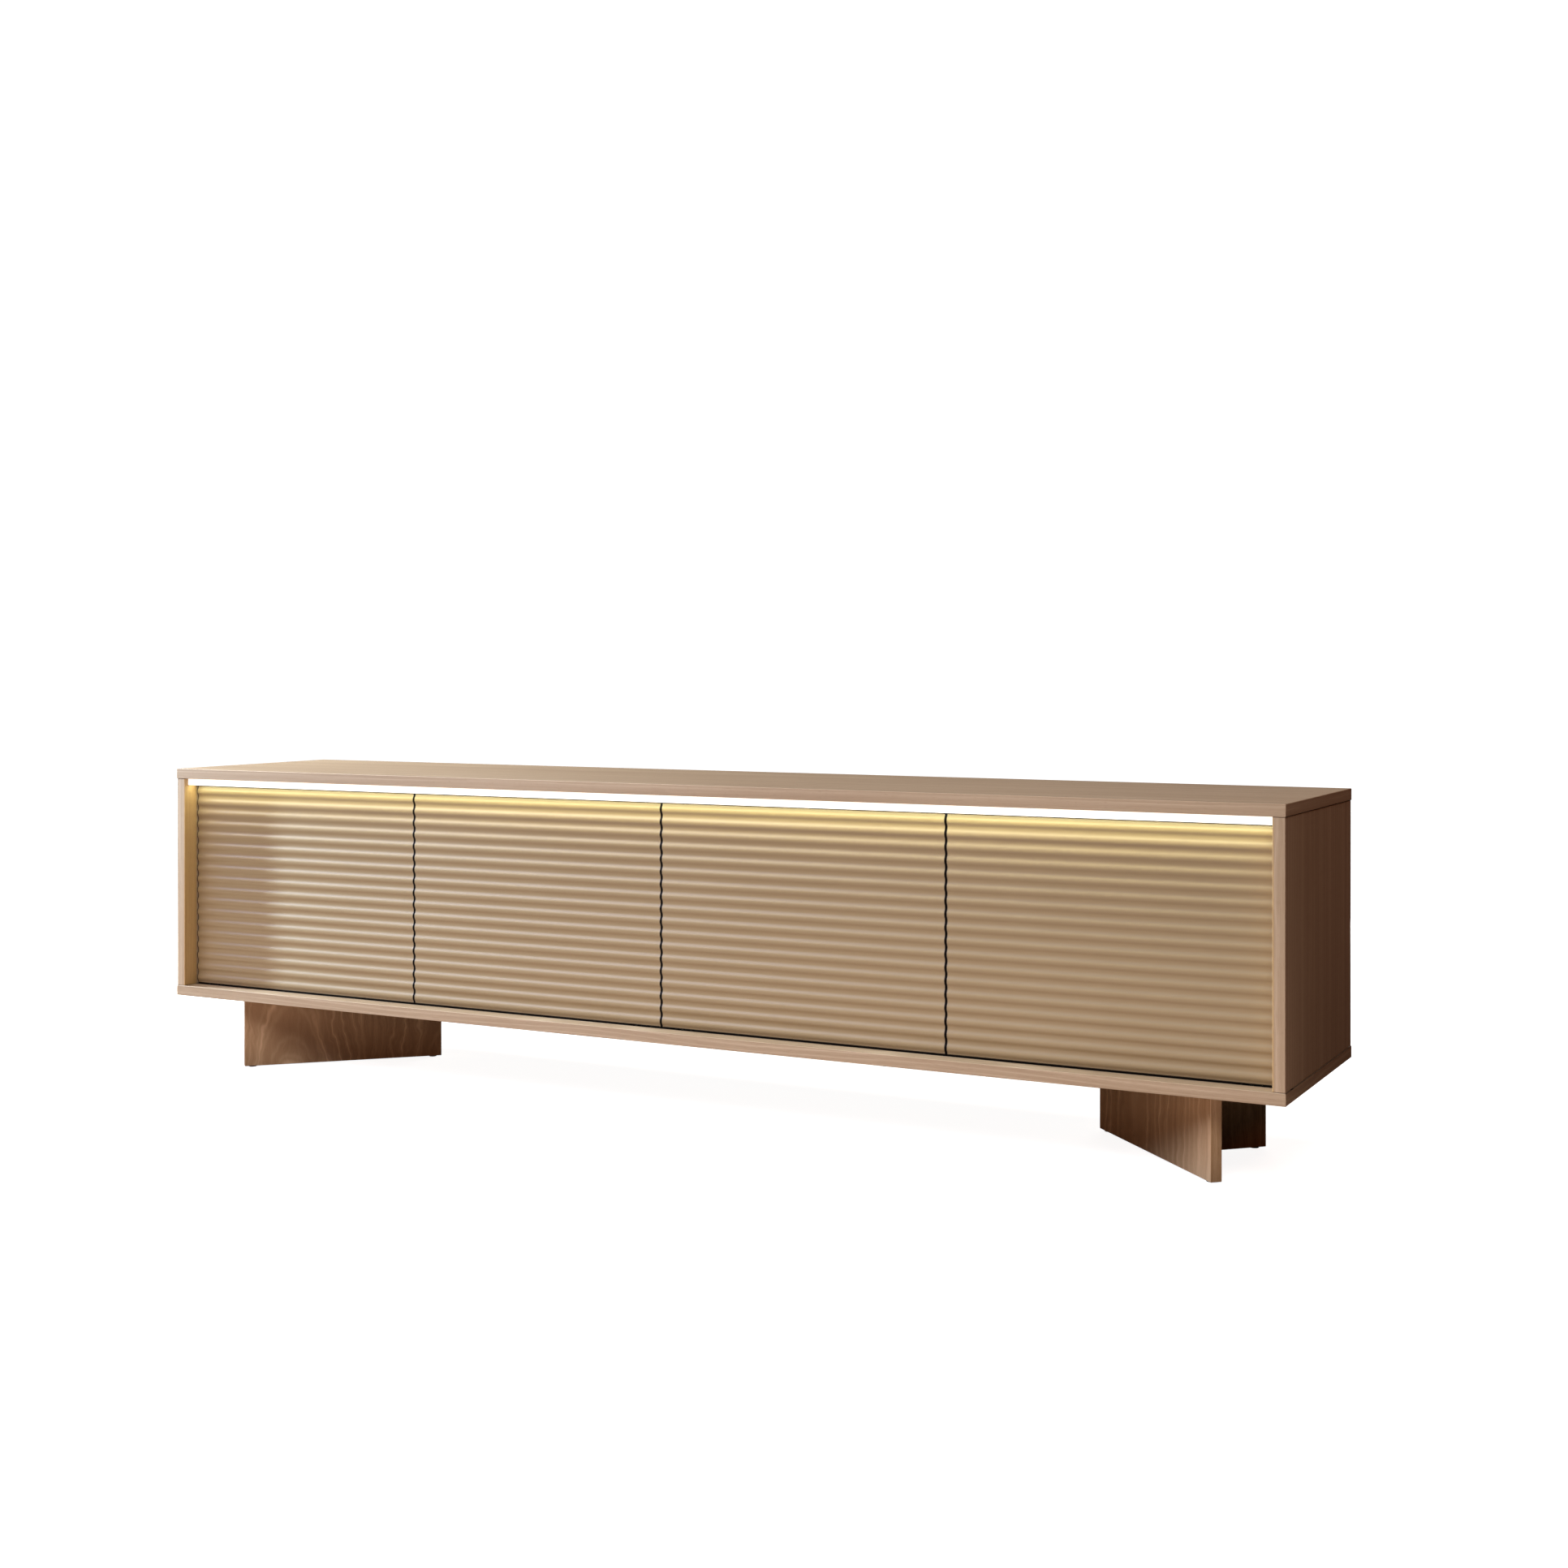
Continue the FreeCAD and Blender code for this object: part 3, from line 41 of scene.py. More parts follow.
class Graph:
    """A material's node tree, with short ways to add the few kinds of node that the materials share."""

    def __init__(self, name):
        self.material = bpy.data.materials.new(name)
        self.material.use_nodes = True
        self.tree = self.material.node_tree
        self.surface = self.tree.nodes["Principled BSDF"]
        self.place = self.node("TexCoord").outputs["Object"]

    def node(self, kind, inputs=None, **settings):
        """A node with its settings, its sockets set to a number or joined to another node's socket."""
        made = self.tree.nodes.new("ShaderNode" + kind)
        for name, value in settings.items():
            setattr(made, name, value)
        for name, value in (inputs or {}).items():
            if isinstance(value, bpy.types.NodeSocket):
                self.tree.links.new(value, made.inputs[name])
            else:
                made.inputs[name].default_value = value
        return made

    def math(self, operation, first, second=0.0, clamp=False):
        """One sum on sockets or numbers."""
        inputs = {0: first, 1: second}
        return self.node("Math", inputs, operation=operation, use_clamp=clamp).outputs[0]

    def total(self, *terms):
        """The sum of several sockets or numbers."""
        result = terms[0]
        for term in terms[1:]:
            result = self.math("ADD", result, term)
        return result

    def scaled(self, value, factor, offset=0.0):
        """A value times a factor, plus an offset."""
        return self.node("Math", {0: value, 1: factor, 2: offset}, operation="MULTIPLY_ADD").outputs[0]

    def vector(self, x, y, z):
        """A place made of three sockets or numbers."""
        return self.node("CombineXYZ", {0: x, 1: y, 2: z}).outputs[0]

    def along(self, direction):
        """How far a point of the surface lies along a direction."""
        inputs = {0: self.place, 1: direction}
        return self.node("VectorMath", inputs, operation="DOT_PRODUCT").outputs["Value"]

    def stretched(self, place, scale):
        """A place times a scale for each axis, so that noise read there has that many features per metre."""
        inputs = {0: place, 1: scale}
        return self.node("VectorMath", inputs, operation="MULTIPLY").outputs[0]

    def moved(self, place, offset):
        """A place plus an offset."""
        inputs = {0: place, 1: offset}
        return self.node("VectorMath", inputs, operation="ADD").outputs[0]

    def noise(self, place, scale=1.0, detail=2.0, roughness=0.5, distortion=0.0):
        """Smooth noise about 0.5, with one feature each 1/scale metres."""
        inputs = {
            "Vector": place,
            "Scale": scale,
            "Detail": detail,
            "Roughness": roughness,
            "Distortion": distortion,
        }
        return self.node("TexNoise", inputs).outputs["Fac"]

    def swing(self, value, amount):
        """A value about 0.5 turned into one about 0, times an amount."""
        return self.scaled(value, amount, -0.5 * amount)

    def span(self, value, low, high, to_low=0.0, to_high=1.0, smooth=True):
        """A value's stretch from low to high, brought to another stretch and held at its ends."""
        inputs = {"Value": value, "From Min": low, "From Max": high, "To Min": to_low, "To Max": to_high}
        shape = "SMOOTHSTEP" if smooth else "LINEAR"
        return self.node("MapRange", inputs, interpolation_type=shape).outputs["Result"]

    def ramp(self, value, stops):
        """A colour for each value, through stops of (place, colour)."""
        made = self.node("ValToRGB", {"Fac": value})
        elements = made.color_ramp.elements
        while len(elements) < len(stops):
            elements.new(0.5)
        for element, (position, colour) in zip(elements, stops):
            element.position = position
            element.color = (*colour, 1)
        return made.outputs["Color"]

    def mix(self, factor, first, second, blend="MIX"):
        """Two colours mixed: the sockets 6 and 7 are a Mix node's colours."""
        inputs = {"Factor": factor}
        for index, colour in ((6, first), (7, second)):
            inputs[index] = colour if isinstance(colour, bpy.types.NodeSocket) else (*colour, 1)
        return self.node("Mix", inputs, data_type="RGBA", blend_type=blend).outputs[2]

    def facing(self, *axes):
        """1 where a surface faces along one of its piece's axes, and 0 where it leans away from them all."""
        parts = self.node("SeparateXYZ", {0: self.node("TexCoord").outputs["Normal"]}).outputs
        turned = self.math("ABSOLUTE", parts[axes[0]])
        for axis in axes[1:]:
            turned = self.math("MAXIMUM", turned, self.math("ABSOLUTE", parts[axis]))
        return self.span(turned, *FACING, smooth=False)

    def bump(self, height, distance):
        """The normal of a surface with a relief whose height runs from 0 to a distance."""
        inputs = {"Height": height, "Distance": distance, "Strength": 1.0}
        return self.node("Bump", inputs).outputs["Normal"]

    def finish(self, colour, roughness, normal=None, **constants):
        """Joins the surface's colour, roughness and normal, and sets its constant sockets."""
        for name, value in (("Base Color", colour), ("Roughness", roughness), ("Normal", normal)):
            if isinstance(value, bpy.types.NodeSocket):
                self.tree.links.new(value, self.surface.inputs[name])
            elif isinstance(value, tuple):
                self.surface.inputs[name].default_value = (*value, 1)
            elif value is not None:
                self.surface.inputs[name].default_value = value
        for name, value in constants.items():
            socket = self.surface.inputs[name.replace("_", " ").title().replace("Ior", "IOR")]
            socket.default_value = value
        return self.material


def extent(name, direction):
    """The lowest and highest place of a CAD node along a direction."""
    places = [vertex.co.dot(direction) for vertex in NODES[name].data.vertices]
    return min(places), max(places)


def dress(names, material):
    """Gives each CAD node of the list a material in place of its own."""
    for name in names:
        slots = NODES[name].data.materials
        slots.clear()
        slots.append(material)


# ------------------------------------------------------------------------------------------ wood

WOOD_DARK = (0.205, 0.128, 0.078)
WOOD_MIDDLE = (0.385, 0.268, 0.178)
WOOD_LIGHT = (0.520, 0.392, 0.280)
WOOD_PALE = (0.640, 0.510, 0.385)
WOOD_STOPS = ((0.0, WOOD_DARK), (0.45, WOOD_MIDDLE), (0.75, WOOD_LIGHT), (1.0, WOOD_PALE))
PLAIN_TINT = (1.0, 1.0, 1.0)
UNDER_TINT = (0.94, 0.94, 0.93)
# Painted light: the legs' veneer made lighter and redder, standing in for how the light falls on them under
# the cabinet.
LEG_PAINTED_LIGHT_TINT = (1.30, 1.10, 0.91)
# Painted shade: a fine dark line along the ends of boards, where they meet others.
JOINT_SHADE = (0.045, 0.028, 0.018)
JOINT_SHADE_WIDTH = 1.1 * MM
JOINT_SHADE_STRENGTH = 0.85
END_REACH = 1.6 * MM
# Painted shade, near black: on the doors' edges and beside their gaps, and on the bottom board behind them.
GAP_SHADE = (0.012, 0.008, 0.005)
# Painted light: the bar's warm colour laid on the side boards' inner faces in front of the doors.
BAR_LIGHT_TINT = (1.0, 0.86, 0.56)
# How far the edges are lightened and polished: partly wear, partly a painted highlight.
WEAR_AND_HIGHLIGHT_REACH = 1.4 * MM

# The stretches over which the painted shadow on the bottom board and the painted bar light on the side walls
# fade in or out, from front to back, from the bottom board's middle up, and from the cabinet's middle
# outwards.
GAP_SHADOW_BEGINS = (-171.0 * MM, -169.5 * MM)
GAP_SHADOW_ENDS = (-161.0 * MM, -158.0 * MM)
GAP_SHADOW_ABOVE = (8.0 * MM, 8.8 * MM)
BAR_LIGHT_AHEAD = (-172.0 * MM, -166.0 * MM)
BAR_LIGHT_INSIDE = (997.0 * MM, 999.0 * MM)

# The rings' pitch, the width after which they repeat in reverse, the least depth of their heart, and how far
# they sway, kink and dip where a board's figure is 1.
RING_PITCH = 10.5 * MM
RING_FOLD = 0.14
HEART_DEPTH = 0.06
SWAY = 0.10
KINK = 0.034
DIP = 0.16

# The first board's place in the veneer, and the step from one board to the next.
FIRST_SEED = 1.0
SEED_STEP = 2.3


def near_ends(graph, name, direction, reach):
    """1 within a reach of either end of a CAD node along a direction, fading to 0 over the rest of it."""
    low, high = extent(name, direction)
    place = graph.along(direction)
    depth = graph.math("MINIMUM", graph.scaled(place, 1.0, -low), graph.scaled(place, -1.0, high))
    return graph.span(depth, 0.3 * reach, reach, 1.0, 0.0)


def near_side(graph, name, direction, reach):
    """1 within a reach of the one end that a CAD node has in a direction, fading to 0 over the rest of it."""
    depth = graph.scaled(graph.along(direction), -1.0, extent(name, direction)[1])
    return graph.span(depth, 0.5 * reach, reach, 1.0, 0.0)


def edge_wear_and_highlight(graph, name, directions):
    """1 along a board's edges, where two of its faces meet, and 0 over the faces."""
    near = [near_ends(graph, name, direction, WEAR_AND_HIGHLIGHT_REACH) for direction in directions]
    return graph.math("SUBTRACT", graph.total(*near), 1.0, clamp=True)


def board_places(graph, board, directions):
    """A point's places from the board's middle: along the grain, across the rings, and through the board."""
    return [graph.scaled(graph.along(way), 1.0, -0.5 * sum(extent(board.name, way))) for way in directions]


def tinted_by(tint, shade):
    """A shade with each of its parts taken up or down by a tint."""
    return tuple(part * share for part, share in zip(shade, tint))


def growth_rings(graph, place, shifted, seed, board):
    """How the board was cut through its rings: its wandering place across them, and the rings' phase there.

    The rings lie round a heart that dips and rises under the face, so that they arch where it is near.
    """
    length, width, depth = graph.node("SeparateXYZ", {0: place}).outputs
    sway = graph.noise(graph.stretched(shifted, (1.6, 5.0, 5.0)), detail=2.0)
    kink = graph.noise(graph.stretched(shifted, (17.0, 30.0, 30.0)), detail=2.0, roughness=0.55)
    sway = graph.swing(sway, SWAY * board.figure)
    kink = graph.swing(kink, KINK * board.figure)
    wandering = graph.math("ADD", width, graph.total(sway, kink, -board.heart))
    heart = graph.noise(graph.vector(graph.scaled(length, 1.6), 0.0, seed * 3.1), detail=1.0)
    height = graph.total(depth, graph.scaled(heart, DIP * board.figure, HEART_DEPTH))
    offset = graph.math("PINGPONG", wandering, RING_FOLD)
    squares = graph.total(graph.math("POWER", offset, 2.0), graph.math("POWER", height, 2.0))
    ring = graph.math("SQRT", squares)
    uneven = graph.noise(graph.vector(0.0, graph.scaled(ring, 55.0), seed), detail=2.0)
    phase = graph.total(graph.scaled(ring, 2 * math.pi / RING_PITCH), graph.swing(uneven, 10.0))
    return graph.vector(length, wandering, depth), phase


def waves(graph, phase):
    """Waves between 0 and 1, one for each turn of the phase."""
    return graph.scaled(graph.math("SINE", phase), 0.5, 0.5)


def painted_gap_shadow(graph, colour, places):
    """Painted shadow: a fine dark line on top of the bottom board, just behind the door fronts, where the
    doors shade it.
    """
    begun = graph.span(places[1], *GAP_SHADOW_BEGINS)
    not_ended = graph.span(places[1], *GAP_SHADOW_ENDS, 1.0, 0.0)
    upper = graph.span(places[2], *GAP_SHADOW_ABOVE)
    # The mask of the painted shadow.
    stain = graph.math("MULTIPLY", upper, graph.math("MULTIPLY", begun, not_ended))
    return graph.mix(stain, colour, GAP_SHADE)


def painted_bar_light(graph, colour, places):
    """The inner faces of the side boards in front of the doors, with the bar's warm light painted on them."""
    inner = graph.span(graph.math("ABSOLUTE", graph.along(X)), *BAR_LIGHT_INSIDE, 1.0, 0.0)
    ahead = graph.span(places[1], *BAR_LIGHT_AHEAD, 1.0, 0.0)
    return graph.mix(graph.math("MULTIPLY", inner, ahead), colour, BAR_LIGHT_TINT, blend="MULTIPLY")


# A board has the name of its node, its grain, the way its rings spread, its figure, and how far the heart of
# the rings lies off its middle. The figure is how far the rings wander and how clear they are, from fine
# straight lines to bold arches. Where end_grain is given, the board's ends have an edge strip whose own grain
# runs along that direction. Each joint is a direction in which the board butts against others; a fine dark
# line of painted shade is laid along the board there. The tint takes the veneer's shades up or down, and on
# the legs it is painted light. The touch is a function that paints light or shade onto the finished colour.
Board = namedtuple(
    "Board",
    "name grain across figure heart end_grain joints tint touch",
    defaults=(None, (), PLAIN_TINT, None),
)
BOARDS = (
    Board("top_panel", X, Y, 0.10, 0.11, Y, (-Z,)),
    Board("bottom_panel", X, Y, 0.22, 0.09, Y, (Z,), UNDER_TINT, painted_gap_shadow),
    Board("side_panel_left", Z, Y, 0.15, 0.10, joints=(Z, -Z), touch=painted_bar_light),
    Board("side_panel_right", Z, Y, 0.15, -0.08, joints=(Z, -Z), touch=painted_bar_light),
    Board("partition_left", Z, Y, 0.15, 0.05, joints=(Z, -Z)),
    Board("partition_centre", Z, Y, 0.15, -0.09, joints=(Z, -Z)),
    Board("partition_right", Z, Y, 0.15, 0.07, joints=(Z, -Z)),
    Board("shelf_outer_left", X, Y, 0.15, 0.06),
    Board("shelf_inner_left", X, Y, 0.15, -0.04),
    Board("shelf_inner_right", X, Y, 0.15, 0.10),
    Board("shelf_outer_right", X, Y, 0.15, -0.10),
    # The legs take a lighter, redder tint of painted light.
    Board("leg_left_long_board", Z, DIAGONAL_LEFT, 1.0, -0.10, tint=LEG_PAINTED_LIGHT_TINT),
    Board("leg_left_arm", Z, DIAGONAL_RIGHT, 0.5, 0.02, tint=LEG_PAINTED_LIGHT_TINT),
    Board("leg_right_long_board", Z, DIAGONAL_RIGHT, 0.7, 0.06, tint=LEG_PAINTED_LIGHT_TINT),
    Board("leg_right_arm", Z, DIAGONAL_LEFT, 0.5, -0.03, tint=LEG_PAINTED_LIGHT_TINT),
)


def veneer(board, seed):
    """Satin greyed walnut veneer on one board, cut from its own place in the veneer."""
    graph = Graph("veneer_" + board.name)
    directions = (board.grain, board.across, board.grain.cross(board.across))
    places = board_places(graph, board, directions)
    place = graph.vector(*places)
    if board.end_grain is not None:
        strip = graph.vector(graph.along(board.end_grain), places[2], 0.0)
        inputs = {"Factor": graph.facing(0), 4: place, 5: strip}
        place = graph.node("Mix", inputs, data_type="VECTOR").outputs[1]
    shifted = graph.moved(place, (seed * 1.37, seed * 0.61, seed * 0.29))
    cut, phase = growth_rings(graph, place, shifted, seed, board)

    def fibres(along, spread, detail, roughness=0.5):
        """Noise drawn out along the grain: features per metre along it and across it."""
        drawn = graph.moved(graph.stretched(cut, (along, spread, spread)), (seed, seed, seed))
        return graph.noise(drawn, detail=detail, roughness=roughness)

    fibre = fibres(5.0, 420.0, 3.0, 0.65)
    hair = fibres(14.0, 1500.0, 1.0)
    stripe = fibres(0.9, 46.0, 2.0)
    cloud = graph.noise(graph.stretched(shifted, (1.7, 6.0, 6.0)), detail=1.0)
    pore = graph.noise(graph.stretched(shifted, (90.0, 1900.0, 1900.0)), detail=0.0)
    pore = graph.span(pore, 0.66, 0.76)
    wave = waves(graph, phase)
    line = graph.math("POWER", wave, 22.0)
    finer = graph.math("POWER", waves(graph, graph.scaled(phase, 3.0)), 6.0)
    fading = graph.noise(graph.stretched(shifted, (4.0, 11.0, 11.0)), detail=2.0)
    fading = graph.span(fading, 0.36, 0.60)
    wear_and_highlight = edge_wear_and_highlight(graph, board.name, directions)
    tone = graph.total(
        0.5,
        graph.swing(stripe, 0.34),
        graph.swing(fibre, 0.30),
        graph.swing(hair, 0.10),
        graph.swing(cloud, 0.24),
        graph.swing(wave, 0.05 + 0.05 * board.figure),
        graph.scaled(graph.math("MULTIPLY", line, fading), 0.14 + 0.34 * board.figure),
        graph.scaled(finer, 0.03 + 0.09 * board.figure),
        graph.scaled(pore, -0.10),
        # edges a little lighter: partly wear, partly a painted highlight
        graph.scaled(wear_and_highlight, 0.10),
    )
    tinted = [(stop, tinted_by(board.tint, shade)) for stop, shade in WOOD_STOPS]
    colour = graph.ramp(tone, tinted)
    # Painted shade along each joint.
    for joint in board.joints:
        joint_shade = near_side(graph, board.name, joint, JOINT_SHADE_WIDTH)
        if board.end_grain is not None:
            joint_shade = graph.math("MULTIPLY", joint_shade, near_ends(graph, board.name, X, END_REACH))
        colour = graph.mix(graph.scaled(joint_shade, JOINT_SHADE_STRENGTH), colour, JOINT_SHADE)
    if board.touch is not None:
        colour = board.touch(graph, colour, places)
    relief = graph.total(graph.scaled(fibre, 0.5), graph.scaled(hair, 0.25), graph.scaled(pore, -0.9))
    rough = graph.total(0.50, graph.swing(fibre, 0.16), graph.scaled(pore, 0.12), graph.scaled(wear_and_highlight, -0.08))
    return graph.finish(colour, rough, graph.bump(relief, 0.05 * MM), specular_ior_level=0.42)


def dress_boards():
    """Each board is cut from its own place in the veneer."""
    for index, board in enumerate(BOARDS):
        dress([board.name], veneer(board, FIRST_SEED + SEED_STEP * index))


FIBREBOARD = ((0.0, (0.10, 0.058, 0.032)), (0.5, (0.20, 0.125, 0.074)), (1.0, (0.33, 0.225, 0.145)))


def back_sheet():
    """Hardboard: veneer print towards the bays, and pressed brown fibre towards the wall."""
    graph = Graph("back_sheet")
    stripe = graph.noise(graph.stretched(graph.place, (70.0, 70.0, 1.2)), detail=3.0)
    fibre = graph.noise(graph.stretched(graph.place, (460.0, 460.0, 9.0)), detail=2.0)
    print_tone = graph.total(0.5, graph.swing(stripe, 0.5), graph.swing(fibre, 0.35))
    printed = graph.ramp(print_tone, ((0.1, WOOD_DARK), (0.6, WOOD_MIDDLE), (1.0, WOOD_LIGHT)))
    fleck = graph.noise(graph.place, 900.0, detail=3.0, roughness=0.7)
    mottle = graph.noise(graph.place, 22.0, detail=3.0)
    pressed_tone = graph.total(0.5, graph.swing(fleck, 0.9), graph.swing(mottle, 0.35))
    pressed = graph.ramp(pressed_tone, FIBREBOARD)
    facing = graph.node("SeparateXYZ", {0: graph.node("TexCoord").outputs["Normal"]}).outputs[1]
    rear = graph.span(facing, 0.2, 0.6, smooth=False)
    colour = graph.mix(rear, printed, pressed)
    rough = graph.scaled(rear, 0.18, 0.55)
    return graph.finish(colour, rough, graph.bump(fleck, 0.04 * MM), specular_ior_level=0.35)


BEECH = ((0.0, (0.40, 0.25, 0.13)), (0.6, (0.62, 0.44, 0.27)), (1.0, (0.74, 0.57, 0.39)))


def beech():
    """Plain turned beech with the short brown flecks of its rays."""
    graph = Graph("beech")
    grain = graph.noise(graph.stretched(graph.place, (300.0, 300.0, 300.0)), detail=3.0)
    ray = graph.noise(graph.stretched(graph.place, (1400.0, 1400.0, 500.0)), detail=0.0)
    fleck = graph.span(ray, 0.6, 0.72)
    tone = graph.total(0.5, graph.swing(grain, 0.7), graph.scaled(fleck, -0.4))
    colour = graph.ramp(tone, BEECH)
    return graph.finish(colour, 0.6, graph.bump(grain, 0.08 * MM))


# ------------------------------------------------------------------------------------------ doors

LACQUER = ((0.0, (0.281, 0.199, 0.108)), (0.5, (0.327, 0.237, 0.136)), (1.0, (0.379, 0.284, 0.174)))
# How far the painted gap shade reaches onto each door's front, beside its side edges and along its foot.
DOOR_SIDE_REACH = 1.5 * MM
DOOR_FOOT_REACH = 1.6 * MM
DOOR_SEED_STEP = 0.7


def door_lacquer(name, seed):
    """Satin sand lacquer over the ripples, with a faint spray texture; its edges, and thin strips of the
    front at the sides and foot, painted near black as the shade in the gaps.
    """
    graph = Graph("lacquer_" + name)
    shifted = graph.moved(graph.place, (seed, 0.0, seed))
    cloud = graph.noise(graph.stretched(shifted, (3.0, 3.0, 5.0)), detail=2.0)
    drift = graph.noise(graph.stretched(shifted, (26.0, 26.0, 90.0)), detail=2.0)
    speck = graph.noise(shifted, 1500.0, detail=1.0)
    tone = graph.total(0.5, graph.swing(cloud, 0.30), graph.swing(drift, 0.16), graph.swing(speck, 0.14))
    side_gap_shade = graph.math("MAXIMUM", graph.facing(0, 2), near_ends(graph, name, X, DOOR_SIDE_REACH))
    gap_shade_mask = graph.math("MAXIMUM", side_gap_shade, near_side(graph, name, -Z, DOOR_FOOT_REACH))
    colour = graph.mix(gap_shade_mask, graph.ramp(tone, LACQUER), GAP_SHADE)
    peel = graph.noise(shifted, 420.0, detail=2.0)
    rough = graph.total(0.38, graph.swing(peel, 0.08), graph.swing(cloud, 0.08))
    normal = graph.bump(graph.total(peel, graph.scaled(speck, 0.25)), 0.010 * MM)
    return graph.finish(colour, rough, normal, specular_ior_level=0.45)


def dress_doors():
    """Each door has its own clouds in the lacquer."""
    for index, place in enumerate(DOORS):
        dress([f"door_{place}"], door_lacquer(f"door_{place}", DOOR_SEED_STEP * index))


# ------------------------------------------------------------------------------------------ hardware


def metal(name, colour, rough, grain, brushing=(1.0, 1.0, 1.0), tarnish=0.12, depth=0.01):
    """Bare or plated metal with brush marks or a cast grain, and a little tarnish."""
    graph = Graph(name)
    marks = graph.noise(graph.stretched(graph.place, brushing), grain, detail=2.0, roughness=0.6)
    stain = graph.noise(graph.place, 60.0, detail=3.0)
    dull = tuple(0.62 * part for part in colour)
    dulling = graph.total(graph.swing(stain, 1.4 * tarnish), graph.swing(marks, tarnish), tarnish)
    shade = graph.mix(dulling, colour, dull)
    roughness = graph.total(rough, graph.swing(marks, 0.22), graph.swing(stain, 0.14))
    return graph.finish(shade, roughness, graph.bump(marks, depth * MM), metallic=1.0)


def plastic(name, colour, rough, grain=1400.0, depth=0.02):
    """Moulded plastic with the fine etched texture of its mould."""
    graph = Graph(name)
    etched = graph.noise(graph.place, grain, detail=2.0, roughness=0.6)
    flow = graph.noise(graph.place, 45.0, detail=2.0)
    light = tuple(min(1.0, 1.25 * part + 0.01) for part in colour)
    dark = tuple(0.80 * part for part in colour)
    tone = graph.total(0.5, graph.swing(etched, 0.5), graph.swing(flow, 0.6))
    shade = graph.ramp(tone, ((0.0, dark), (0.5, colour), (1.0, light)))
    roughness = graph.total(rough, graph.swing(etched, 0.18))
    return graph.finish(shade, roughness, graph.bump(etched, depth * MM), specular_ior_level=0.5)


def felt():
    """Dense brown felt, with loose fibres in its face."""
    graph = Graph("felt")
    tangle = graph.noise(graph.place, 1100.0, detail=3.0, roughness=0.75, distortion=1.5)
    colour = graph.ramp(tangle, ((0.2, (0.035, 0.025, 0.018)), (0.8, (0.16, 0.115, 0.08))))
    return graph.finish(colour, 0.95, graph.bump(tangle, 0.25 * MM), sheen_weight=0.4)


def led_tape():
    """White circuit tape with faint copper tracks under its mask."""
    graph = Graph("led_tape")
    mask = graph.noise(graph.place, 700.0, detail=2.0)
    track = graph.noise(graph.stretched(graph.place, (30.0, 900.0, 900.0)), detail=0.0)
    track = graph.span(track, 0.55, 0.6)
    tone = graph.total(0.6, graph.swing(mask, 0.2), graph.scaled(track, -0.25))
    colour = graph.ramp(tone, ((0.0, (0.62, 0.60, 0.55)), (1.0, (0.88, 0.88, 0.85))))
    return graph.finish(colour, 0.45, graph.bump(mask, 0.01 * MM))


LIGHT_COLOUR = (1.0, 0.97, 0.88)
LIGHT_STRENGTH = 1.1


def lit_opal():
    """The opal cover while the strip behind it is on: an even warm white."""
    graph = Graph("lit_opal")
    frost = graph.noise(graph.place, 500.0, detail=2.0)
    colour = graph.ramp(frost, ((0.2, (0.84, 0.80, 0.72)), (0.8, (0.92, 0.89, 0.82))))
    graph.surface.inputs["Emission Color"].default_value = (*LIGHT_COLOUR, 1)
    graph.surface.inputs["Emission Strength"].default_value = LIGHT_STRENGTH
    return graph.finish(colour, 0.5, graph.bump(frost, 0.01 * MM))


def dress_hardware():
    """Every fitting's own metal, plastic, felt or wood, and the two back sheets."""
    lengthwise = (0.05, 1.0, 1.0)
    zinc = metal("cast_zinc", (0.56, 0.56, 0.57), 0.42, 900.0, depth=0.03)
    steel = metal("plated_steel", (0.60, 0.60, 0.61), 0.30, 500.0, brushing=(1.0, 1.0, 0.3))
    blackened = metal("blackened_steel", (0.050, 0.048, 0.046), 0.45, 700.0, brushing=lengthwise, tarnish=0.3)
    dress(("cam_locks", "cam_bolts"), zinc)
    dress(("shelf_pins", "pivot_screws", "latch_screws", "led_screws", "leg_screws", "inlet_nut"), steel)
    dress(("lower_pivot_pins", "upper_pivot_pins"), blackened)
    dress([f"door_{place}_strike" for place in DOORS], steel)
    dress(["latch_springs"], metal("spring_steel", (0.50, 0.50, 0.50), 0.25, 1500.0))
    plate = metal("brushed_plate", (0.48, 0.48, 0.49), 0.36, 700.0, brushing=lengthwise, depth=0.02)
    dress(["upper_pivot_plates"], plate)
    dress(["lower_pivot_plates"], blackened)
    anodised = metal("anodised_channel", (0.70, 0.70, 0.71), 0.38, 900.0, brushing=(0.02, 1.0, 1.0))
    dress(["led_channel"], anodised)
    dress(["back_screws"], metal("black_screw", (0.045, 0.042, 0.040), 0.45, 900.0, tarnish=0.3))
    dress([f"door_{place}_bushes" for place in DOORS], plastic("nylon", (0.74, 0.72, 0.66), 0.42))
    dress(["latch_housings"], plastic("latch_grey", (0.17, 0.165, 0.16), 0.50, grain=2000.0))
    dress([f"latch_plunger_{place}" for place in DOORS], plastic("plunger_grey", (0.045, 0.045, 0.045), 0.35))
    jacket = plastic("lead_jacket", (0.022, 0.022, 0.023), 0.48, grain=700.0, depth=0.03)
    dress(("led_lead", "lead_clips"), jacket)
    dress(("power_inlet", "cable_grommets"), plastic("black_plastic", (0.016, 0.016, 0.016), 0.50))
    dress(["leg_glides"], felt())
    dress(["led_strip"], led_tape())
    dress(("led_cover", "led_end_caps"), lit_opal())
    dress(("carcass_dowels", "leg_dowels"), beech())
    dress(("back_panel_left", "back_panel_right"), back_sheet())


# ------------------------------------------------------------------------------------------ studio

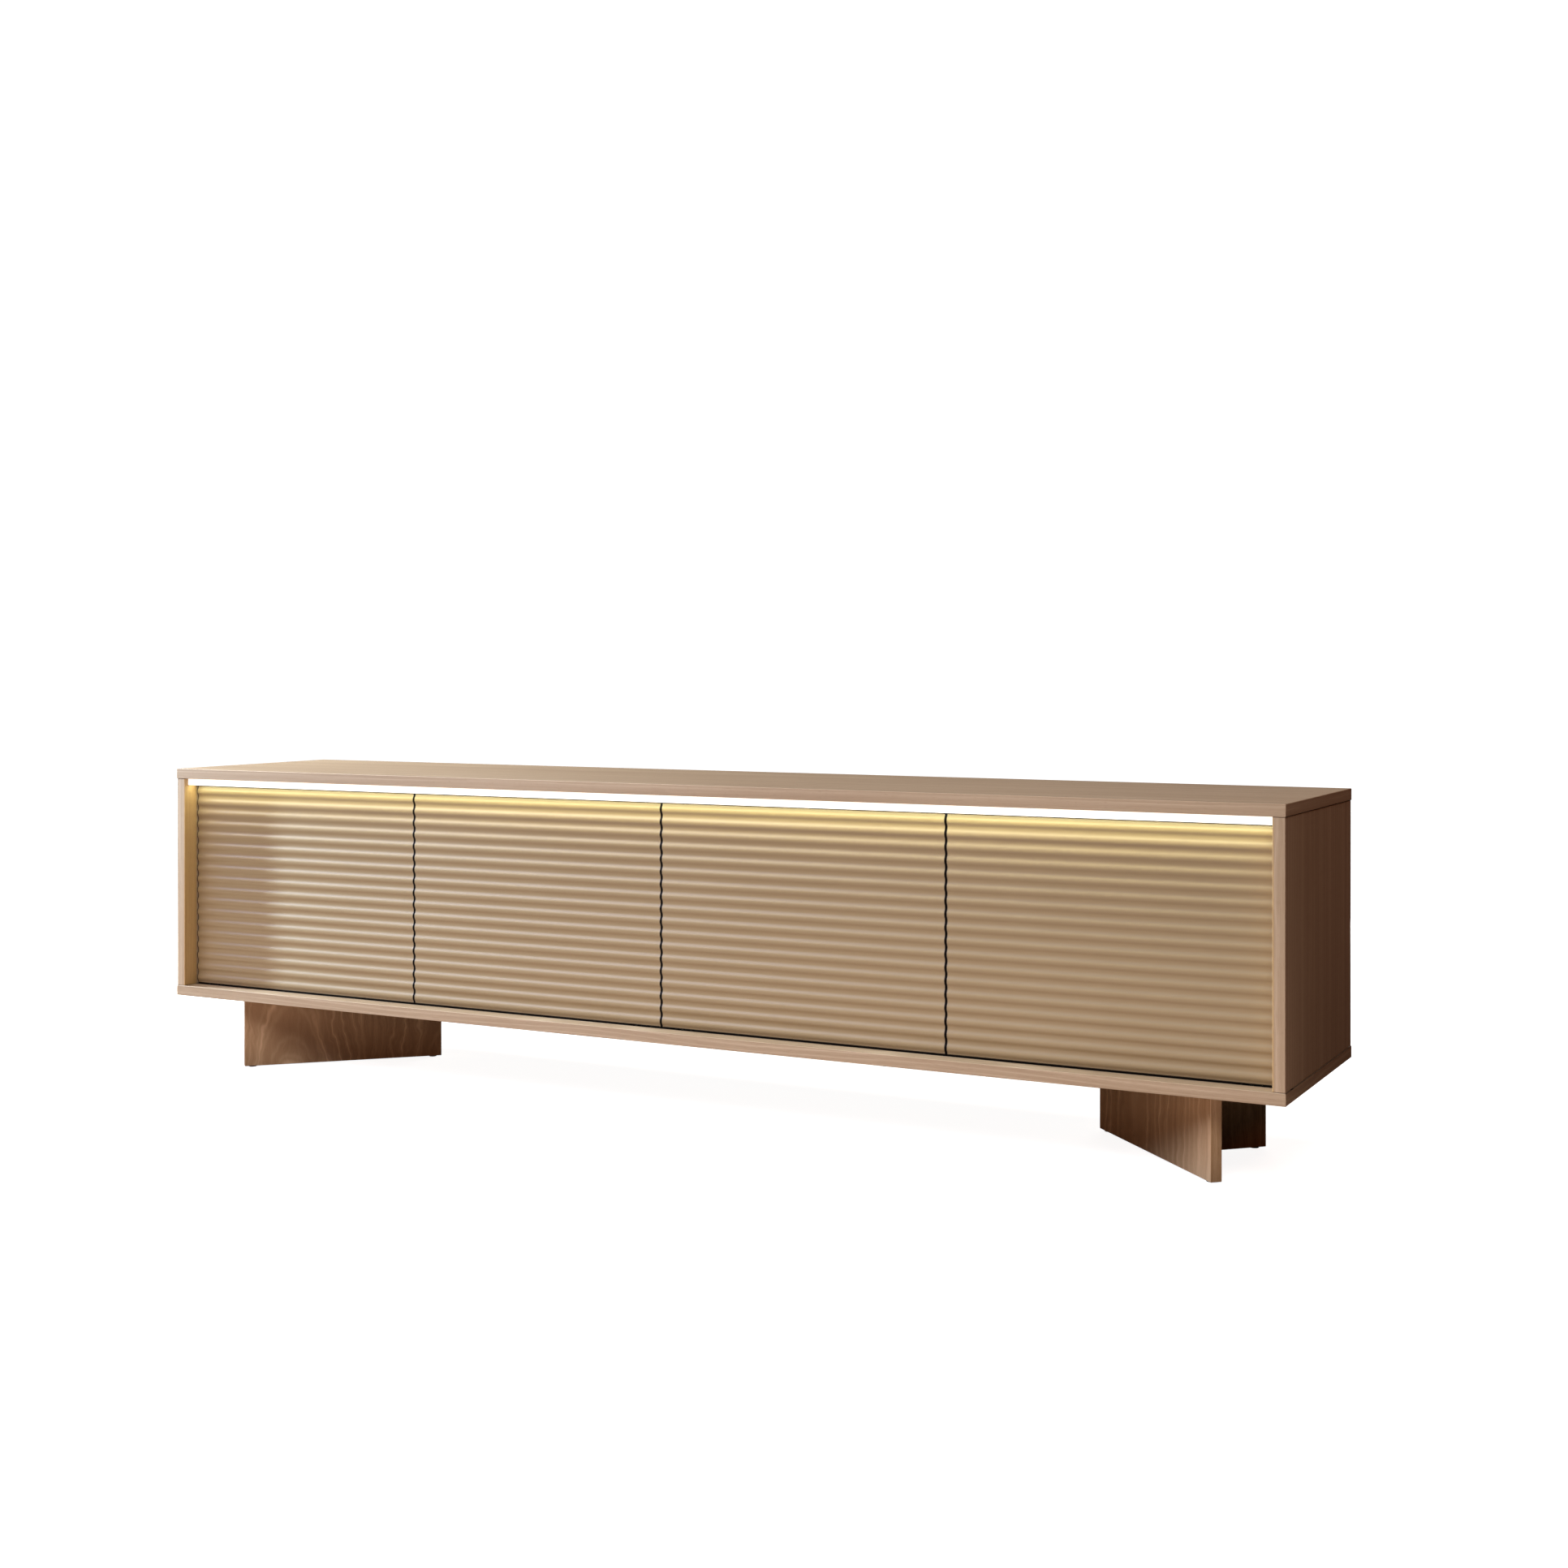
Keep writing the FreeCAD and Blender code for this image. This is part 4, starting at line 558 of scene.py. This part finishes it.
CAMERA_PLACE = (1.7193, -2.9814, 0.7349)
CAMERA_TURN = math.radians(27.758)
LENS_MM = 46.989
SENSOR_MM = 36.0
CAMERA_SHIFT = (-0.00557, -0.07694)
CLIP_START = 0.05
CLIP_END = 200.0

FLOOR_HALF = 60.0
FLOOR_WHITE = 0.8
FLOOR_GLOW = (0.90, 1.1)
SHADOW_REACH = 1.1
DOME_RADIUS = 50.0
DOME_RINGS = 12
DOME_SIDES = 48
DOME_GLOW = 1.1
SCRIM_X = -1.10
SCRIM_Y = (-0.208, 0.45)
SCRIM_TOP = 0.541
SCRIM_PASSES = (0.26, 0.26, 0.30)

# Name, place, aim, width and height, power in watts, colour.
SOFTBOXES = (
    ("key_left", (-3.56, -0.615, 1.12), (0.0, -0.2, 0.3), (0.105, 1.5), 238.0, (0.69, 0.89, 1.0)),
    ("front_left_above", (-2.0, -2.4, 2.4), (0.0, -0.2, 0.3), (2.0, 1.4), 60.0, (0.86, 0.83, 1.0)),
    ("front_right_above", (1.4, -2.6, 2.6), (0.0, -0.2, 0.3), (2.0, 1.4), 57.0, (1.0, 0.98, 0.92)),
    ("left_above", (-3.0, 0.0, 2.4), (0.0, 0.0, 0.5), (1.5, 1.5), 125.0, (1.0, 0.98, 0.82)),
    ("left_high", (-3.2, -1.4, 2.6), (0.0, -0.2, 0.3), (1.0, 1.0), 28.0, (0.45, 0.58, 1.0)),
    ("right_above", (3.0, 0.2, 2.4), (0.0, 0.0, 0.5), (1.5, 1.5), 11.0, (1.0, 0.34, 0.15)),
    ("front_low", (-0.3, -3.2, 0.7), (0.0, -0.2, 0.3), (2.4, 0.8), 10.7, (1.0, 0.62, 0.45)),
    ("behind_low", (0.0, 3.0, 0.28), (0.0, 0.2, 0.28), (1.9, 0.5), 60.0, (1.0, 0.97, 0.92)),
    ("floor_bounce_near", (0.0, -0.5, 0.005), (0.0, -0.5, 1.0), (2.6, 0.5), 4.1, (1.0, 0.80, 0.69)),
    ("floor_bounce_front", (0.0, -1.15, 0.005), (0.0, -1.15, 1.0), (3.2, 1.3), 6.8, (1.0, 0.87, 0.68)),
    ("floor_bounce_left", (-1.7, -0.4, 0.005), (-1.7, -0.4, 1.0), (1.0, 1.6), 4.7, (1.0, 0.92, 0.60)),
    ("bar_glow", (0.0, -0.1825, 0.5125), (0.0, -0.1825, 0.0), (1.986, 0.015), 0.84, (0.92, 1.0, 0.64)),
)
WORLD_COLOUR = (1.0, 0.7, 0.5)
WORLD_STRENGTH = 0.004


def add_camera():
    """A level camera off the right end of the front, a little higher than the cabinet's top."""
    data = bpy.data.cameras.new("camera")
    data.lens = LENS_MM
    data.sensor_width = SENSOR_MM
    data.shift_x, data.shift_y = CAMERA_SHIFT
    data.clip_start = CLIP_START
    data.clip_end = CLIP_END
    camera = bpy.data.objects.new("camera", data)
    camera.location = CAMERA_PLACE
    camera.rotation_euler = (math.radians(90), 0, CAMERA_TURN)
    bpy.context.scene.collection.objects.link(camera)
    bpy.context.scene.camera = camera


def add_softbox(name, place, aim, size, power, colour):
    """A rectangular soft light at a place, turned towards its aim, that the camera doesn't see."""
    data = bpy.data.lights.new(name, "AREA")
    data.shape = "RECTANGLE"
    data.size, data.size_y = size
    data.energy = power
    data.color = colour
    light = bpy.data.objects.new(name, data)
    light.location = place
    light.rotation_euler = (Vector(aim) - Vector(place)).to_track_quat("-Z", "Y").to_euler()
    light.visible_camera = False
    bpy.context.scene.collection.objects.link(light)


def add_world():
    """A dim even light from all round, which keeps the shadows from closing up."""
    world = bpy.data.worlds.new("studio")
    world.use_nodes = True
    background = world.node_tree.nodes["Background"]
    background.inputs["Color"].default_value = (*WORLD_COLOUR, 1)
    background.inputs["Strength"].default_value = WORLD_STRENGTH
    bpy.context.scene.world = world


def glowing(name, strength, diffuse):
    """A white stage surface that shines by itself, in one strength or from a near one to a far one."""
    graph = Graph(name)
    graph.surface.inputs["Emission Color"].default_value = (1, 1, 1, 1)
    if isinstance(strength, tuple):
        near, far = strength
        away = graph.node("VectorMath", {0: graph.place}, operation="LENGTH").outputs["Value"]
        strength = graph.span(away, SHADOW_REACH, 2.0 * SHADOW_REACH, near, far)
        graph.tree.links.new(strength, graph.surface.inputs["Emission Strength"])
    else:
        graph.surface.inputs["Emission Strength"].default_value = strength
    return graph.finish((diffuse, diffuse, diffuse), 0.9, specular_ior_level=0.0)


def mesh_object(name, points, faces, material):
    """An object with one material, made from its points and faces."""
    mesh = bpy.data.meshes.new(name)
    mesh.from_pydata(points, [], faces)
    mesh.materials.append(material)
    made = bpy.data.objects.new(name, mesh)
    bpy.context.scene.collection.objects.link(made)
    return made


def add_stage():
    """A pale floor that runs into a white dome. Neither lights the cabinet nor shows in its gloss."""
    corners = [(x * FLOOR_HALF, y * FLOOR_HALF, 0.0) for x, y in ((-1, -1), (1, -1), (1, 1), (-1, 1))]
    floor = mesh_object("floor", corners, [(0, 1, 2, 3)], glowing("floor", FLOOR_GLOW, FLOOR_WHITE))
    points = []
    for ring in range(DOME_RINGS + 1):
        angle = math.pi * ring / DOME_RINGS
        across, height = math.sin(angle) * DOME_RADIUS, math.cos(angle) * DOME_RADIUS
        for side in range(DOME_SIDES):
            turn = 2 * math.pi * side / DOME_SIDES
            points.append((across * math.cos(turn), across * math.sin(turn), height))
    faces = []
    for first in range(0, DOME_RINGS * DOME_SIDES, DOME_SIDES):
        second = first + DOME_SIDES
        for side in range(DOME_SIDES):
            after = (side + 1) % DOME_SIDES
            faces.append((first + side, first + after, second + after, second + side))
    dome = mesh_object("dome", points, faces, glowing("dome", DOME_GLOW, 0.0))
    for surface in (floor, dome):
        surface.visible_diffuse = False
        surface.visible_glossy = False
        surface.visible_shadow = False


def add_scrim():
    """A net beside the left end, seen by shadows only, that holds back the strong lights on that side."""
    graph = Graph("scrim")
    net = graph.node("BsdfTransparent", {0: (*SCRIM_PASSES, 1)}).outputs[0]
    graph.tree.links.new(net, graph.tree.nodes["Material Output"].inputs["Surface"])
    (front, back), top = SCRIM_Y, SCRIM_TOP
    points = [(SCRIM_X, y, z) for y, z in ((front, 0.0), (back, 0.0), (back, top), (front, top))]
    scrim = mesh_object("scrim", points, [(0, 1, 2, 3)], graph.material)
    scrim.visible_camera = False
    scrim.visible_diffuse = False
    scrim.visible_glossy = False


# ------------------------------------------------------------------------------------------ scene

bpy.context.scene.view_settings.view_transform = "Standard"
add_camera()
add_world()
add_stage()
add_scrim()
for softbox in SOFTBOXES:
    add_softbox(*softbox)

dress_boards()
dress_doors()
dress_hardware()
